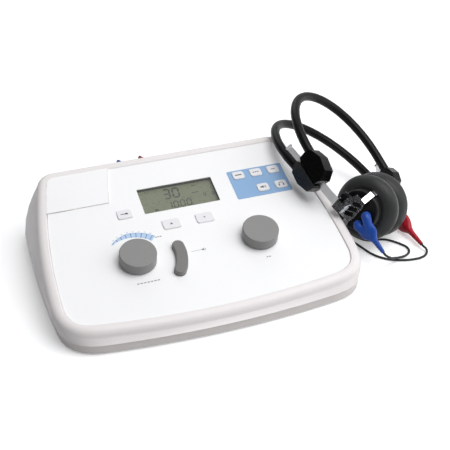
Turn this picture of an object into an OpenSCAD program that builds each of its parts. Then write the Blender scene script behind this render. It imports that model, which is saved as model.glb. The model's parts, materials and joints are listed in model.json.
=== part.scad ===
// Two-channel screening audiometer: a wedge-shaped desk console and its headset.
// Millimetres, +Z up. The origin is the middle of the front foot strip, on the table.
// -Y is the front of the console, where the operator sits.

/* [Console] */
// Width of the console across its base
case_w = 310; // [300:1:320]
// Distance from the knob line to the middle of the front edge
front_reach = 82; // [78:1:88]
// Distance from the knob line to the rear wall
rear_reach = 135; // [130:1:142]
// Distance from the front foot strip to the knob line
knob_line = 48; // [40:1:56]
// Height of the base tray, above its feet
tray_h = 9; // [7:0.5:10]
// Thickness of the moulded walls
wall = 2.5; // [2:0.1:3]
// Height of the foot strips
foot_h = 2; // [1.5:0.1:3]
// Slope of the control deck, in degrees
deck_tilt = 13.8; // [12:0.2:15]
// Height of the deck at the knob line
deck_z = 38; // [36:0.5:42]
// Width of the rounded rim round the deck
rim_w = 11.4; // [10:0.2:12]
// How far the rim stands above the deck
rim_rise = 1.4; // [0.8:0.1:2]

/* [Deck] */
// Thickness of the overlay sheet
overlay_t = 1; // [0.6:0.1:1.2]
// Thickness of the deck under the overlay
deck_t = 2.5; // [2:0.1:3]
// Width of the display's window
window_w = 79; // [70:1:84]
// Height of the display's window, up the slope
window_h = 34.4; // [30:0.2:36]
// Place of the display's middle up the slope from the knob line
window_v = 75.5; // [73:0.5:78]
// Running gap round each key, bar and shaft
key_gap = 0.25; // [0.15:0.05:0.35]
// How far a key stands above the overlay
key_rise = 0.9; // [0.5:0.1:1.2]
// How far a key goes down when pressed
key_travel = 0.8; // [0.4:0.1:0.9]

/* [Knobs] */
// Radius of the two level knobs
knob_r = 18; // [15:0.5:20]
// Height of the knobs
knob_h = 12; // [8:0.5:15]
// Distance of each knob from the middle of the console
knob_u = 61.8; // [58:0.2:64]
// Gap between a knob and the overlay
knob_lift = 0.4; // [0.3:0.1:0.8]
// Radius of the encoder shafts
shaft_r = 3; // [2.5:0.1:3.2]

/* [Tone bar] */
// Radius of the bar's middle line about the left knob
bar_mid_r = 42; // [40:0.5:44]
// Width of the bar
bar_w = 11.5; // [9:0.5:12]
// Height of the bar above the overlay
bar_rise = 5; // [3:0.2:7]
// How far the bar goes down when pressed
bar_travel = 1.5; // [1:0.1:1.6]

/* [Headset] */
// Distance between the two slider blocks, middle to middle
block_span = 125; // [118:1:128]
// Diameter of the padded bands
sleeve_d = 9.6; // [8:0.2:10]
// Diameter of the spring wire inside each band
wire_d = 3; // [2.4:0.1:3.6]
// Width of the flat chrome rods
rod_w = 9; // [7:0.5:10]
// Thickness of the flat chrome rods
rod_t = 1.8; // [1.4:0.1:2.2]
// Radius of the ear cushions at their widest
cushion_r = 34; // [32:0.5:35]
// Radius of the earphone cases
capsule_r = 21.5; // [20:0.5:22.5]
// Depth of the earphone cases
capsule_d = 20; // [18:0.5:22]

/* [Leads] */
// Diameter of the two earphone leads
lead_d = 2.4; // [2:0.1:2.8]
// Diameter of the jack plugs' tip sleeve
plug_pin_d = 6.3; // [6.2:0.05:6.35]

/* [Hidden] */

$fn = 64;

// ---- console outline ----

tray_top = foot_h + tray_h;
rake = tan(deck_tilt);
// The base is nearly straight-sided; the rim draws in towards the back.
base_bow_r = 1060;
base_bow_y = 60;
rim_bow_r = 553;
rim_bow_y = -20;
front_bow_r = 880;
rim_in = 2;
front_lean = 5;
wall_belly = 4;
front_corner = 34;
rear_corner = 16;
rim_drop = 4;

// Height of a plane parallel to the deck, h above the deck's surface, at depth y.
function deck_height(y, h) = deck_z + y * rake + h / cos(deck_tilt);
// Half width at depth y; k is 0 on the base and 1 at the rim.
function half_width(y, k) =
  (case_w / 2 - pow(y - base_bow_y, 2) / (2 * base_bow_r)) * (1 - k)
  + (case_w / 2 - rim_in - pow(y - rim_bow_y, 2) / (2 * rim_bow_r)) * k
  + wall_belly * 4 * k * (1 - k) * (y + front_reach) / (rear_reach + front_reach);
// Depth of the front edge at width x.
function front_edge(x, k) = -front_reach + front_lean * k + x * x / (2 * front_bow_r);
// A corner blend through a, towards its corner c, to b.
function blend(a, c, b, t) = a * pow(1 - t, 2) + c * 2 * t * (1 - t) + b * t * t;

front_steps = 10;
corner_steps = 6;
side_steps = 10;
rear_steps = 4;

// The right half of an outline drawn in by inset, from the front middle to the rear middle.
function right_half(k, inset) =
  let (
    rf = max(front_corner - 1.2 * inset, 6),
    rb = max(rear_corner - 0.8 * inset, 5),
    yb = rear_reach - inset * 0.9,
    x1 = half_width(-60, k) - inset,
    y1 = front_edge(x1, k) + inset * 0.9,
    x2 = half_width(yb, k) - inset,
    c1 = [x1, y1],
    a1 = [x1 - rf, front_edge(x1 - rf, k) + inset * 0.9],
    b1 = [half_width(y1 + rf, k) - inset, y1 + rf],
    c2 = [x2, yb],
    a2 = [half_width(yb - rb, k) - inset, yb - rb],
    b2 = [x2 - rb, yb]
  )
  concat(
    [for (i = [0:front_steps - 1]) let (x = a1[0] * i / front_steps)
      [x, front_edge(x, k) + inset * 0.9]],
    [for (i = [0:corner_steps - 1]) blend(a1, c1, b1, i / corner_steps)],
    [for (i = [0:side_steps - 1]) let (y = b1[1] + (a2[1] - b1[1]) * i / side_steps)
      [half_width(y, k) - inset, y]],
    [for (i = [0:corner_steps - 1]) blend(a2, c2, b2, i / corner_steps)],
    [for (i = [0:rear_steps]) [b2[0] * (1 - i / rear_steps), yb]]
  );
// The whole outline, anticlockwise from the front middle.
function outline(k, inset) =
  let (r = right_half(k, inset), n = len(r))
  concat(r, [for (i = [n - 2:-1:1]) [-r[i][0], r[i][1]]]);
// One ring of the shell: r = [k, inset, share of the wall's height, height above the deck].
function ring(r) =
  [for (p = outline(r[0], r[1]))
    [p[0], p[1], tray_top * (1 - r[2]) + deck_height(p[1], r[3]) * r[2]]];

// A closed skin over outer rings, capped at the last, back under the inner rings, capped at
// the first, and joined all round along the open lower edge.
module double_skin(outer, inner) {
  n = len(outer[0]);
  m = len(outer);
  rings = concat(outer, inner);
  total = len(rings);
  band = function (a, b) [for (i = [0:n - 1]) let (j = (i + 1) % n)
    each [[a * n + i, b * n + i, b * n + j], [a * n + i, b * n + j, a * n + j]]];
  polyhedron(
    points = [for (r = rings) each r],
    faces = concat(
      [for (s = [0:m - 2]) each band(s, s + 1)],
      [[for (i = [n - 1:-1:0]) (m - 1) * n + i]],
      [[for (i = [0:n - 1]) m * n + i]],
      [for (s = [m:total - 2]) each band(s, s + 1)],
      band(total - 1, 0)
    ),
    convexity = 10
  );
}

// ---- places ----

module at_knob_line() { translate([0, knob_line, 0]) children(); }
// Deck coordinates: u across, v up the slope, h square out of the overlay's surface.
module on_deck(u = 0, v = 0, h = 0) {
  translate([0, knob_line, deck_z]) rotate([deck_tilt, 0, 0]) translate([u, v, h]) children();
}
module rounded_plate(w, h, r, t) {
  linear_extrude(t) rounded_square(w, h, r);
}
module rounded_square(w, h, r) {
  square([w - 2 * r, h], center = true);
  square([w, h - 2 * r], center = true);
  for (sx = [-1, 1], sy = [-1, 1]) translate([sx * (w / 2 - r), sy * (h / 2 - r)]) circle(r, $fn = 32);
}

// ---- keys ----

// Each key: place across, place up the slope, width, height.
side_key = [-59.6, 62.8, 14.4, 12];
left_key = [-17.8, 39.4, 17.6, 12.6];
right_key = [16.6, 39.4, 17.6, 12.6];
mode_keys = [[68.6, 87.2, 12.4, 10.6], [87.8, 87.2, 12.4, 10.6], [107, 87.2, 12.4, 10.6],
  [88.2, 64.8, 12.4, 10.6], [108, 64.8, 12.4, 10.6]];
all_keys = concat([side_key, left_key, right_key], mode_keys);
key_corner = 2.6;
key_flange = 1.2;
key_skirt = 1.2;

// Arc of the tone bar about the left knob, in degrees.
bar_from = -33;
bar_to = 9;
knob_v = 2;

bar_arc_steps = 14;
bar_end_steps = 8;
function polar(r, a) = r * [cos(a), sin(a)];
// The bar's outline, grown all round: outer arc, round end, inner arc, round end.
function bar_line(grow) =
  let (r = bar_w / 2 + grow, mid = [-knob_u, knob_v], sweep = bar_to - bar_from)
  concat(
    [for (i = [0:bar_arc_steps]) mid + polar(bar_mid_r + r, bar_from + sweep * i / bar_arc_steps)],
    [for (i = [1:bar_end_steps - 1])
      mid + polar(bar_mid_r, bar_to) + polar(r, bar_to + 180 * i / bar_end_steps)],
    [for (i = [0:bar_arc_steps]) mid + polar(bar_mid_r - r, bar_to - sweep * i / bar_arc_steps)],
    [for (i = [1:bar_end_steps - 1])
      mid + polar(bar_mid_r, bar_from) + polar(r, bar_from + 180 + 180 * i / bar_end_steps)]);
module bar_outline(grow) { polygon(bar_line(grow)); }

// ---- console pieces ----

// Raised bare pad in the rear left corner of the deck.
pad_v = 81.6;
pad_right = 62;
pad_rise = 1.2;
function pad_edge(v) = -(half_width(v * cos(deck_tilt), 1) - rim_w) + pad_right;
module pad_area(grow) {
  polygon([[-160, pad_v - grow], [pad_edge(pad_v) + grow, pad_v - grow],
    [pad_edge(pad_v + 30) + grow, pad_v + 30], [pad_edge(140) + grow, 140], [-160, 140]]);
}
module deck_area(inset) {
  // The outline at the rim is laid into the deck's own plane, so depth is stretched by its slope.
  polygon([for (p = outline(1, inset)) [p[0], p[1] / cos(deck_tilt)]]);
}

encoder_hole = 3.9;
boss_r = 4;
pilot_r = 1.25;
screw_r = 1.5;
boss_rear = 104;
boss_places = [[-122, -42], [122, -42], [-112, boss_rear], [112, boss_rear]];

rear_slot_w = 176;
rear_slot_z = 30;
rear_slot_h = 26;

module top_shell() {
  color([0.93, 0.91, 0.92]) {
    difference() {
      union() {
        at_knob_line() double_skin(
          [ring([0, 0, 0, 0]), ring([0.3, 0, 0.3, -rim_drop]), ring([0.6, 0, 0.6, -rim_drop]),
            ring([0.85, 0, 0.85, -rim_drop]), ring([1, 0, 1, -rim_drop]),
            for (a = [18:18:90]) ring([1, (rim_w - 3.4) * (1 - cos(a)), 1,
              -rim_drop + (rim_drop + rim_rise) * sin(a)]),
            ring([1, rim_w - 1.2, 1, rim_rise]), ring([1, rim_w - 0.3, 1, 0.2]),
            ring([1, rim_w, 1, -overlay_t])],
          [ring([1, rim_w + 1, 1, -overlay_t - deck_t]), ring([1, wall + 3, 1, -rim_drop - 1.5]),
            ring([1, wall, 1, -rim_drop - 3.5]), ring([0.5, wall, 0.5, -rim_drop]),
            ring([0, wall, 0, 0])]);
        corner_pad();
      }
      deck_holes();
      rear_slot();
    }
    screw_bosses();
  }
}
module corner_pad() {
  on_deck(0, 0, -overlay_t) linear_extrude(overlay_t + pad_rise) intersection() {
    deck_area(rim_w - 0.6);
    pad_area(0);
  }
}
module deck_holes() {
  depth = overlay_t + deck_t + 4;
  on_deck(0, window_v, -depth) rounded_plate(window_w + 1, window_h + 1, 1.5, depth + 3);
  for (s = [-1, 1]) on_deck(s * knob_u, knob_v, -depth) cylinder(h = depth + 3, r = encoder_hole);
  for (k = all_keys) on_deck(k[0], k[1], -depth)
    rounded_plate(k[2] + 2 * key_gap, k[3] + 2 * key_gap, key_corner, depth + 3);
  on_deck(0, 0, -depth) linear_extrude(depth + 3) bar_outline(key_gap);
}
module rear_slot() {
  at_knob_line() translate([-rear_slot_w / 2, rear_reach - wall - 3, rear_slot_z])
    cube([rear_slot_w, wall + 6, rear_slot_h]);
}
module screw_bosses() {
  // Each boss runs from the tray's top edge into the underside of the deck.
  for (b = boss_places) at_knob_line() translate([b[0], b[1], tray_top + 0.3])
    difference() {
      cylinder(h = deck_height(b[1] - boss_r, -overlay_t - deck_t + 0.6) - tray_top - 0.3, r = boss_r);
      translate([0, 0, -1]) cylinder(h = 12, r = pilot_r);
    }
}

// Gap of the seam between the two shells, and how far the tray stands back from the wall.
seam = 0.4;
tray_in = 0.8;
screw_head_r = 3.1;
screw_head_sink = 2.4;
module base_shell() {
  color([0.86, 0.84, 0.85]) at_knob_line() difference() {
    union() {
      difference() {
        translate([0, 0, foot_h]) linear_extrude(tray_h - seam) polygon(outline(0, tray_in));
        translate([0, 0, foot_h + wall]) linear_extrude(tray_h) polygon(outline(0, tray_in + wall));
      }
      for (b = boss_places) translate([b[0], b[1], foot_h]) cylinder(h = tray_h, r = boss_r + 1);
    }
    for (b = boss_places) translate([b[0], b[1], 0]) {
      cylinder(h = tray_h * 2, r = screw_r + 0.2);
      cylinder(h = foot_h + screw_head_sink, r = screw_head_r);
    }
  }
}
screw_head_h = 2;
screw_length = 16;
module case_screws() {
  color("silver") at_knob_line() for (b = boss_places)
    translate([b[0], b[1], foot_h + screw_head_sink - screw_head_h]) {
      cylinder(h = screw_head_h, r = screw_head_r - 0.2);
      cylinder(h = screw_length, r = pilot_r - 0.05);
    }
}

strip_w = 220;
strip_d = 9;
rear_strip_y = 150;
module foot_strips() {
  color([0.2, 0.2, 0.21]) for (y = [0, rear_strip_y]) translate([0, y, 0])
    rounded_plate(strip_w, strip_d, 4, foot_h);
}

module overlay_panel() {
  edge_gap = 0.3;
  color([0.97, 0.97, 0.98]) difference() {
    on_deck(0, 0, -overlay_t) linear_extrude(overlay_t) difference() {
      deck_area(rim_w + edge_gap);
      pad_area(edge_gap);
      translate([0, window_v]) rounded_square(window_w, window_h, 1);
      for (k = all_keys) translate([k[0], k[1]])
        rounded_square(k[2] + 2 * key_gap, k[3] + 2 * key_gap, key_corner);
      bar_outline(key_gap);
    }
    for (s = [-1, 1]) on_deck(s * knob_u, knob_v, -5) cylinder(h = 10, r = encoder_hole);
  }
}

window_sink = 0.6;
window_t = 1;
module display_window() {
  color([0.8, 0.85, 0.85, 0.4]) on_deck(0, window_v, -window_sink - window_t)
    rounded_plate(window_w - 0.3, window_h - 0.3, 1, window_t);
}
lcd_drop = 4.2;
lcd_t = 3;
module lcd_module() {
  color([0.45, 0.47, 0.4]) {
    on_deck(0, window_v, -lcd_drop - lcd_t) rounded_plate(window_w + 6, window_h + 6, 1, lcd_t);
    // Four legs stand the display on the board.
    for (sx = [-1, 1], sy = [-1, 1])
      on_deck(sx * (window_w / 2 - 4), window_v + sy * (window_h / 2 - 4), -board_drop)
        cylinder(h = board_drop - lcd_drop - lcd_t, r = 2);
  }
}

board_drop = 17;
board_t = 1.6;
board_w = 232;
board_v0 = -22;
board_v1 = rear_reach - 33;
post_rear = board_v1 - 6;
post_places = concat([for (u = [-100, 0, 100]) [u, board_v0 + 8]],
  [for (u = [-100, -50, 50, 100]) [u, post_rear]]);
module main_board() {
  post_r = 2.2;
  color([0.1, 0.4, 0.2]) difference() {
    on_deck(0, (board_v0 + board_v1) / 2, -board_drop - board_t)
      rounded_plate(board_w, board_v1 - board_v0, 3, board_t);
    for (b = boss_places) at_knob_line() translate([b[0], b[1], 0]) cylinder(h = 90, r = boss_r + 1);
  }
  // Posts hang the board from the deck's underside.
  color([0.75, 0.72, 0.6]) for (p = post_places)
    on_deck(p[0], p[1], -board_drop) cylinder(h = board_drop - overlay_t - deck_t, r = post_r);
}
// Each switch: a square body with a round plunger that ends switch_top below the overlay.
switch_top = 7;
switch_w = 6;
plunger_r = 1.8;
module switch_at(top) {
  translate([-switch_w / 2, -switch_w / 2, 0]) cube(switch_w);
  cylinder(h = board_drop - top, r = plunger_r);
}
module key_switches() {
  color([0.25, 0.25, 0.27]) {
    for (k = all_keys) on_deck(k[0], k[1], -board_drop) switch_at(switch_top);
    on_deck(-knob_u, knob_v, -board_drop) rotate([0, 0, (bar_from + bar_to) / 2])
      translate([bar_mid_r, 0, 0]) switch_at(switch_top + 1);
  }
}
encoder_body_h = 7;
encoder_w = 13;
module encoders() {
  color([0.6, 0.6, 0.62]) for (s = [-1, 1]) on_deck(s * knob_u, knob_v, -board_drop) difference() {
    union() {
      translate([-encoder_w / 2, -encoder_w / 2, 0]) cube([encoder_w, encoder_w, encoder_body_h]);
      cylinder(h = board_drop, r = encoder_hole - 0.3);
    }
    translate([0, 0, 2]) cylinder(h = board_drop, r = shaft_r + 0.05);
  }
}
module shaft_at(s) {
  color("silver") on_deck(s * knob_u, knob_v, -board_drop + 2.3)
    cylinder(h = board_drop - 2.3 + knob_lift + knob_h - 3, r = shaft_r);
}
module left_shaft() { shaft_at(-1); }
module right_shaft() { shaft_at(1); }
module knob_at(s) {
  color([0.5, 0.5, 0.5]) on_deck(s * knob_u, knob_v, knob_lift) rotate_extrude($fn = 96)
    polygon([[shaft_r + 0.02, 0], [5.2, 0], [5.2, 1], [knob_r - 2, 1], [knob_r - 1.4, 0],
      [knob_r - 0.2, 0], [knob_r, 0.4], [knob_r, knob_h - 1.3], [knob_r - 0.3, knob_h - 0.5],
      [knob_r - 1, knob_h], [0, knob_h], [0, knob_h - 3], [shaft_r + 0.02, knob_h - 3]]);
}
module left_knob() { knob_at(-1); }
module right_knob() { knob_at(1); }

module tone_bar() {
  skirt_top = -overlay_t - deck_t - 0.3;
  color([0.45, 0.45, 0.46]) {
    on_deck(0, 0, skirt_top) linear_extrude(bar_rise - skirt_top - 0.8) bar_outline(0);
    on_deck(0, 0, bar_rise - 0.8) linear_extrude(0.8) bar_outline(-0.7);
    on_deck(0, 0, skirt_top - key_skirt) linear_extrude(key_skirt) bar_outline(key_flange);
  }
}
module key_at(k) {
  skirt_top = -overlay_t - deck_t - 0.3;
  color([0.95, 0.95, 0.96]) {
    on_deck(k[0], k[1], skirt_top) rounded_plate(k[2], k[3], key_corner, key_rise - skirt_top - 0.4);
    on_deck(k[0], k[1], key_rise - 0.4) rounded_plate(k[2] - 0.8, k[3] - 0.8, key_corner - 0.4, 0.4);
    on_deck(k[0], k[1], skirt_top - key_skirt)
      rounded_plate(k[2] + 2 * key_flange, k[3] + 2 * key_flange, key_corner, key_skirt);
  }
}
module display_key_side() { key_at(side_key); }
module display_key_left() { key_at(left_key); }
module display_key_right() { key_at(right_key); }
module mode_key_1() { key_at(mode_keys[0]); }
module mode_key_2() { key_at(mode_keys[1]); }
module mode_key_3() { key_at(mode_keys[2]); }
module mode_key_4() { key_at(mode_keys[3]); }
module mode_key_5() { key_at(mode_keys[4]); }

// ---- rear connections ----

rear_plate_t = 2;
jack_z = 44;
// Blue, red and spare phone jacks, across the rear.
jack_places = [-38, -13, 12];
inlet_x = 62;
rocker_x = 38;
inlet_r = 2.75;
plate_y = rear_reach - wall - 0.2 - rear_plate_t;
jack_bore_r = plug_pin_d / 2 + 0.05;
jack_nose_r = 5.2;
jack_depth = 30;
jack_face_y = rear_reach - 0.6;
rocker_half = 8.5;
rocker_half_w = 6;
rocker_pin_r = 1;
rocker_pivot_y = rear_reach - 6;
cheek_t = 1.6;
cheek_l = 8;
cheek_h = 14;
cheek_gap = 0.2;
rocker_bore_l = 20;
rocker_hole = [13.2, 19.2];
plate_lap = 4;
plate_cut = 5;
jack_block = 16;
jack_floor = 1.5;

// A point on the rear wall, seen along +Y: x across, z up, y the depth from the knob line.
module on_rear(x, y, z) { at_knob_line() translate([x, y, z]) rotate([-90, 0, 0]) children(); }

module rear_plate() {
  color([0.3, 0.3, 0.32]) difference() {
    at_knob_line() {
      translate([-rear_slot_w / 2 - plate_lap, plate_y, rear_slot_z - plate_lap])
        cube([rear_slot_w + 2 * plate_lap, rear_plate_t, rear_slot_h + 2 * plate_lap]);
      // Two cheeks carry the rocker's pivot pins.
      for (x = [rocker_x - rocker_half_w - cheek_gap - cheek_t, rocker_x + rocker_half_w + cheek_gap])
        translate([x, plate_y - cheek_l, jack_z - cheek_h / 2]) cube([cheek_t, cheek_l + 0.5, cheek_h]);
    }
    at_knob_line() translate([rocker_x - rocker_bore_l / 2, rocker_pivot_y, jack_z]) rotate([0, 90, 0])
      cylinder(h = rocker_bore_l, r = rocker_pin_r + 0.05);
    for (x = jack_places) on_rear(x, plate_y - 1, jack_z)
      cylinder(h = plate_cut, r = jack_nose_r + 0.05);
    on_rear(inlet_x, plate_y - 1, jack_z) cylinder(h = plate_cut, r = inlet_nose_r + 0.05);
    at_knob_line() translate([rocker_x - rocker_hole[0] / 2, plate_y - 1, jack_z - rocker_hole[1] / 2])
      cube([rocker_hole[0], plate_cut, rocker_hole[1]]);
  }
}
module phone_jacks() {
  color([0.15, 0.15, 0.16]) for (x = jack_places) difference() {
    union() {
      on_rear(x, jack_face_y - jack_depth, jack_z) cylinder(h = jack_depth, r = jack_nose_r);
      at_knob_line() translate([x - jack_block / 2, jack_face_y - jack_depth, jack_z - jack_block / 2])
        cube([jack_block, plate_y - 0.1 - jack_face_y + jack_depth, jack_block]);
    }
    on_rear(x, jack_face_y - jack_depth + jack_floor, jack_z) cylinder(h = jack_depth, r = jack_bore_r);
  }
}
// The inlet: a square body behind the plate, a round nose through it and a contact pin.
inlet_body = [14, 11.2, 14];
inlet_nose_r = 5.5;
inlet_nose_l = 13;
inlet_back = 16;
inlet_bore = 11;
inlet_pin_r = 1;
inlet_pin_l = 8;
module power_inlet() {
  color([0.12, 0.12, 0.13]) difference() {
    union() {
      on_rear(inlet_x, rear_reach - inlet_nose_l - 1, jack_z) cylinder(h = inlet_nose_l, r = inlet_nose_r);
      at_knob_line() translate([inlet_x - inlet_body[0] / 2, rear_reach - inlet_back, jack_z - inlet_body[2] / 2])
        cube(inlet_body);
    }
    on_rear(inlet_x, rear_reach - inlet_bore, jack_z) cylinder(h = inlet_bore + 9, r = inlet_r);
  }
  color("silver") on_rear(inlet_x, rear_reach - inlet_bore - 0.5, jack_z)
    cylinder(h = inlet_pin_l, r = inlet_pin_r);
}
module power_rocker() {
  color([0.15, 0.15, 0.16]) at_knob_line() translate([rocker_x, rocker_pivot_y, jack_z])
    rotate([0, 90, 0]) {
      translate([0, 0, -rocker_half_w]) linear_extrude(2 * rocker_half_w)
        polygon([[-rocker_half, 4], [0, 3.1], [rocker_half, 5.2], [rocker_half - 1, -2], [0, -5],
          [-rocker_half + 1, -2]]);
      translate([0, 0, -rocker_half_w - cheek_t]) cylinder(h = 2 * (rocker_half_w + cheek_t), r = rocker_pin_r);
    }
}

// ---- headset ----

// The headset stands beside the console and leans on its rim: where its middle lies, and how
// its own frame is turned (X from the near cup to the far one, Z towards the crown).
headset_off = 28.1;
headset_at = [case_w / 2 + headset_off, 71.7, 52.5];
headset_turn = [-67.2, 25.4, 22.3];
cups_at = [-4.7, -2.7, -57];
cups_turn = -13.5;
cups_half_gap = 0.25;
band_b = 77;
band_lift = 12.7;
band_splay = 6.7;
band_apart = 10.5;
band_steps = 40;
block_half = block_span / 2;

module on_headset() { translate(headset_at) at_knob_line() rotate(headset_turn) children(); }
// Frame of one cup, side -1 near and +1 far: X points up the headset and Z outwards.
module on_cup(side) {
  on_headset() translate(cups_at) rotate([0, cups_turn, 0]) rotate([0, side * 90, 0])
    mirror([side > 0 ? 1 : 0, 0, 0]) children();
}
// A point of a band at height z in the band's own leaning plane; s is +1 for the upper band.
function band_point(x, z, s) =
  [x, -s * (band_apart + z * sin(band_splay)), z * cos(band_splay)];
// Each band is a half ellipse on two straight legs that end inside the blocks.
function band_path(s) = concat(
  [band_point(-block_half, leg_end - block_drop(-1), s)],
  [for (i = [0:band_steps]) let (a = 180 - 180 * i / band_steps)
    band_point(block_half * cos(a), band_lift + band_b * sin(a), s)],
  [band_point(block_half, leg_end - block_drop(1), s)]);
leg_end = 0.1;
// The far block sits lower on its legs than the near one.
far_block_drop = 14;
function block_drop(side) = side > 0 ? far_block_drop : 0;

// ---- sweeping ----

function unit(v) = v / norm(v);
function tangent(p, i) = let (n = len(p)) unit(p[min(i + 1, n - 1)] - p[max(i - 1, 0)]);
// A frame that is carried along the path, so that the tube does not twist.
function carried(p, i, side) =
  let (t = tangent(p, i), s = unit(side - t * (side * t)))
  i == len(p) - 1 ? [[t, s]] : concat([[t, s]], carried(p, i + 1, s));
function start_side(p) =
  let (t = tangent(p, 0), c = abs(t[2]) < 0.8 ? [0, 0, 1] : [1, 0, 0]) unit(cross(t, c));
function tube_ring(c, f, r, sides) =
  [for (k = [0:sides - 1]) let (a = 360 * k / sides)
    c + r * (cos(a) * f[1] + sin(a) * cross(f[0], f[1]))];
function path_length(p) = len(p) < 2 ? 0 : sum([for (i = [1:len(p) - 1]) norm(p[i] - p[i - 1])]);
function sum(v) = v * [for (x = v) 1];
// A solid round tube along a path of points.
module tube(path, r, sides) {
  frames = carried(path, 0, start_side(path));
  n = len(path);
  polyhedron(
    points = [for (i = [0:n - 1]) each tube_ring(path[i], frames[i], r, sides)],
    faces = concat(
      [[for (k = [0:sides - 1]) k]],
      [for (i = [0:n - 2], k = [0:sides - 1]) let (j = (k + 1) % sides, a = i * sides, b = a + sides)
        each [[a + k, b + k, b + j], [a + k, b + j, a + j]]],
      [[for (k = [sides - 1:-1:0]) (n - 1) * sides + k]]
    ),
    convexity = 10
  );
}
// A hollow sleeve along a path: outer skin, bore and two flat end rings.
module sleeve(path, r_out, r_in, sides) {
  frames = carried(path, 0, start_side(path));
  n = len(path);
  skin = n * sides;
  polyhedron(
    points = concat(
      [for (i = [0:n - 1]) each tube_ring(path[i], frames[i], r_out, sides)],
      [for (i = [0:n - 1]) each tube_ring(path[i], frames[i], r_in, sides)]),
    faces = concat(
      [for (i = [0:n - 2], k = [0:sides - 1]) let (j = (k + 1) % sides, a = i * sides, b = a + sides)
        each [[a + k, b + k, b + j], [a + k, b + j, a + j],
          [skin + a + k, skin + b + j, skin + b + k], [skin + a + k, skin + a + j, skin + b + j]]],
      [for (k = [0:sides - 1]) let (j = (k + 1) % sides, e = (n - 1) * sides)
        each [[k, j, skin + j], [k, skin + j, skin + k],
          [e + k, skin + e + j, e + j], [e + k, skin + e + k, skin + e + j]]]
    ),
    convexity = 10
  );
}

module padded_band(s) {
  color([0.1, 0.1, 0.1]) on_headset() sleeve(band_path(s), sleeve_d / 2, wire_d / 2 + 0.3, 12);
}
module upper_sleeve() { padded_band(1); }
module lower_sleeve() { padded_band(-1); }
module band_wires() {
  color("silver") on_headset() for (s = [1, -1]) tube(band_path(s), wire_d / 2, 8);
}

// ---- slider blocks and rods ----

rod_x = block_half + 5.2;
rod_slot_gap = 0.08;
// Where each rod's foot stands in its yoke's clamp: outwards and down from the headset's middle.
near_rod_foot = [50.39505, 53.25916];
far_rod_foot = [35.37181, 44.49593];
near_rod_tilt = 4;
far_rod_tilt = 0;
near_rod_up = 25;
far_rod_up = 16;
function rod_foot(side) = side < 0 ? near_rod_foot : far_rod_foot;
function rod_down(side) = norm([rod_x - rod_foot(side)[0], rod_foot(side)[1]]);
function rod_slant(side) =
  [side < 0 ? near_rod_tilt : far_rod_tilt, atan2(rod_x - rod_foot(side)[0], rod_foot(side)[1])];
rod_tip_w = 5.6;
rod_head = [6.8, 3.2, 2.2];
// Heights where the wide part of each rod and of the near slot ends.
near_rod_shoulder = -4;
far_rod_shoulder = -21.5;
slot_step = 2;

// The rod's own frame: its axis along Z with the block's middle at 0, wide along X.
module on_rod(side) {
  slant = rod_slant(side);
  mirror([side < 0 ? 1 : 0, 0, 0]) translate([rod_x, 0, 0]) rotate([slant[0], slant[1], 0])
    rotate([0, 0, 90]) children();
}
// Each block has one lobe under each band and a slot between them for the rod. The slot is
// narrow at the top, so the rod's head and shoulders stop it. A groove in the outer face
// shows the rod below that.
groove_w = 2;
module rod_slot(step) {
  gap = rod_slot_gap;
  translate([-rod_w / 2 - gap, -rod_t / 2 - gap, -60])
    cube([rod_w + 2 * gap, rod_t + 2 * gap, 60 + step]);
  translate([-rod_tip_w / 2 - gap, -rod_t / 2 - gap, -60])
    cube([rod_tip_w + 2 * gap, rod_t + 2 * gap, 120]);
  translate([-groove_w / 2, -20, -60]) cube([groove_w, 20, 60 + step]);
}
module block_at(side) {
  color([0.09, 0.09, 0.09]) on_headset() difference() {
    for (s = [-1, 1]) mirror([side < 0 ? 1 : 0, 0, 0]) translate([block_half, 0, -block_drop(side)])
      lobe(s, side < 0 ? near_lobe : far_lobe);
    on_rod(side) rod_slot(slot_step - block_drop(side));
    for (s = [-1, 1]) translate([side * block_half, -s * band_apart, 0]) rotate([s * band_splay, 0, 0])
      translate([0, 0, -block_drop(side)]) cylinder(h = 30 + block_drop(side), r = sleeve_d / 2 + 0.05);
  }
}
// The lobes' outlines, y outwards and z up; the far ones are shorter below.
near_lobe = [[0, 0], [6, -2], [16, 3], [20, 18], [17, 31], [10, 34], [3, 33], [0, 26]];
far_lobe = [[0, 12], [6, 10], [15, 12], [19, 21], [17, 30], [10, 33], [3, 32], [0, 26]];
lobe_low = -26;
lobe_w = 17.5;
lobe_in = 8;
lobe_slope = 14;
module lobe(s, outline) {
  mirror([0, s > 0 ? 1 : 0, 0]) difference() {
    translate([-lobe_in, -0.5, lobe_low]) rotate([90, 0, 90]) linear_extrude(lobe_w) polygon(outline);
    translate([lobe_w - lobe_in, 0, -50]) rotate([0, 0, lobe_slope]) cube([20, 40, 100]);
  }
}
module near_block() { block_at(-1); }
module far_block() { block_at(1); }

module rod_at(side, up, shoulder) {
  down = rod_down(side);
  color("silver") on_headset() on_rod(side) {
    translate([-rod_w / 2, -rod_t / 2, -down]) cube([rod_w, rod_t, down + shoulder]);
    translate([-rod_tip_w / 2, -rod_t / 2, -down]) cube([rod_tip_w, rod_t, down + up]);
    translate([-rod_head[0] / 2, -rod_head[1] / 2, up - rod_head[2]]) cube(rod_head);
  }
}
module near_rod() { rod_at(-1, near_rod_up, near_rod_shoulder); }
module far_rod() { rod_at(1, far_rod_up, far_rod_shoulder); }

// ---- earphones ----

capsule_in = 12.6;
capsule_out = capsule_in + capsule_d;
pivot_s = 25.5;
pivot_pin_r = 1.2;
arm_gap = 0.5;
yoke_gap = 5.6;
yoke_t = 1.5;
arm_w = 6;
arm_y = capsule_r + arm_gap;
back_s = capsule_out + yoke_gap;

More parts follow.
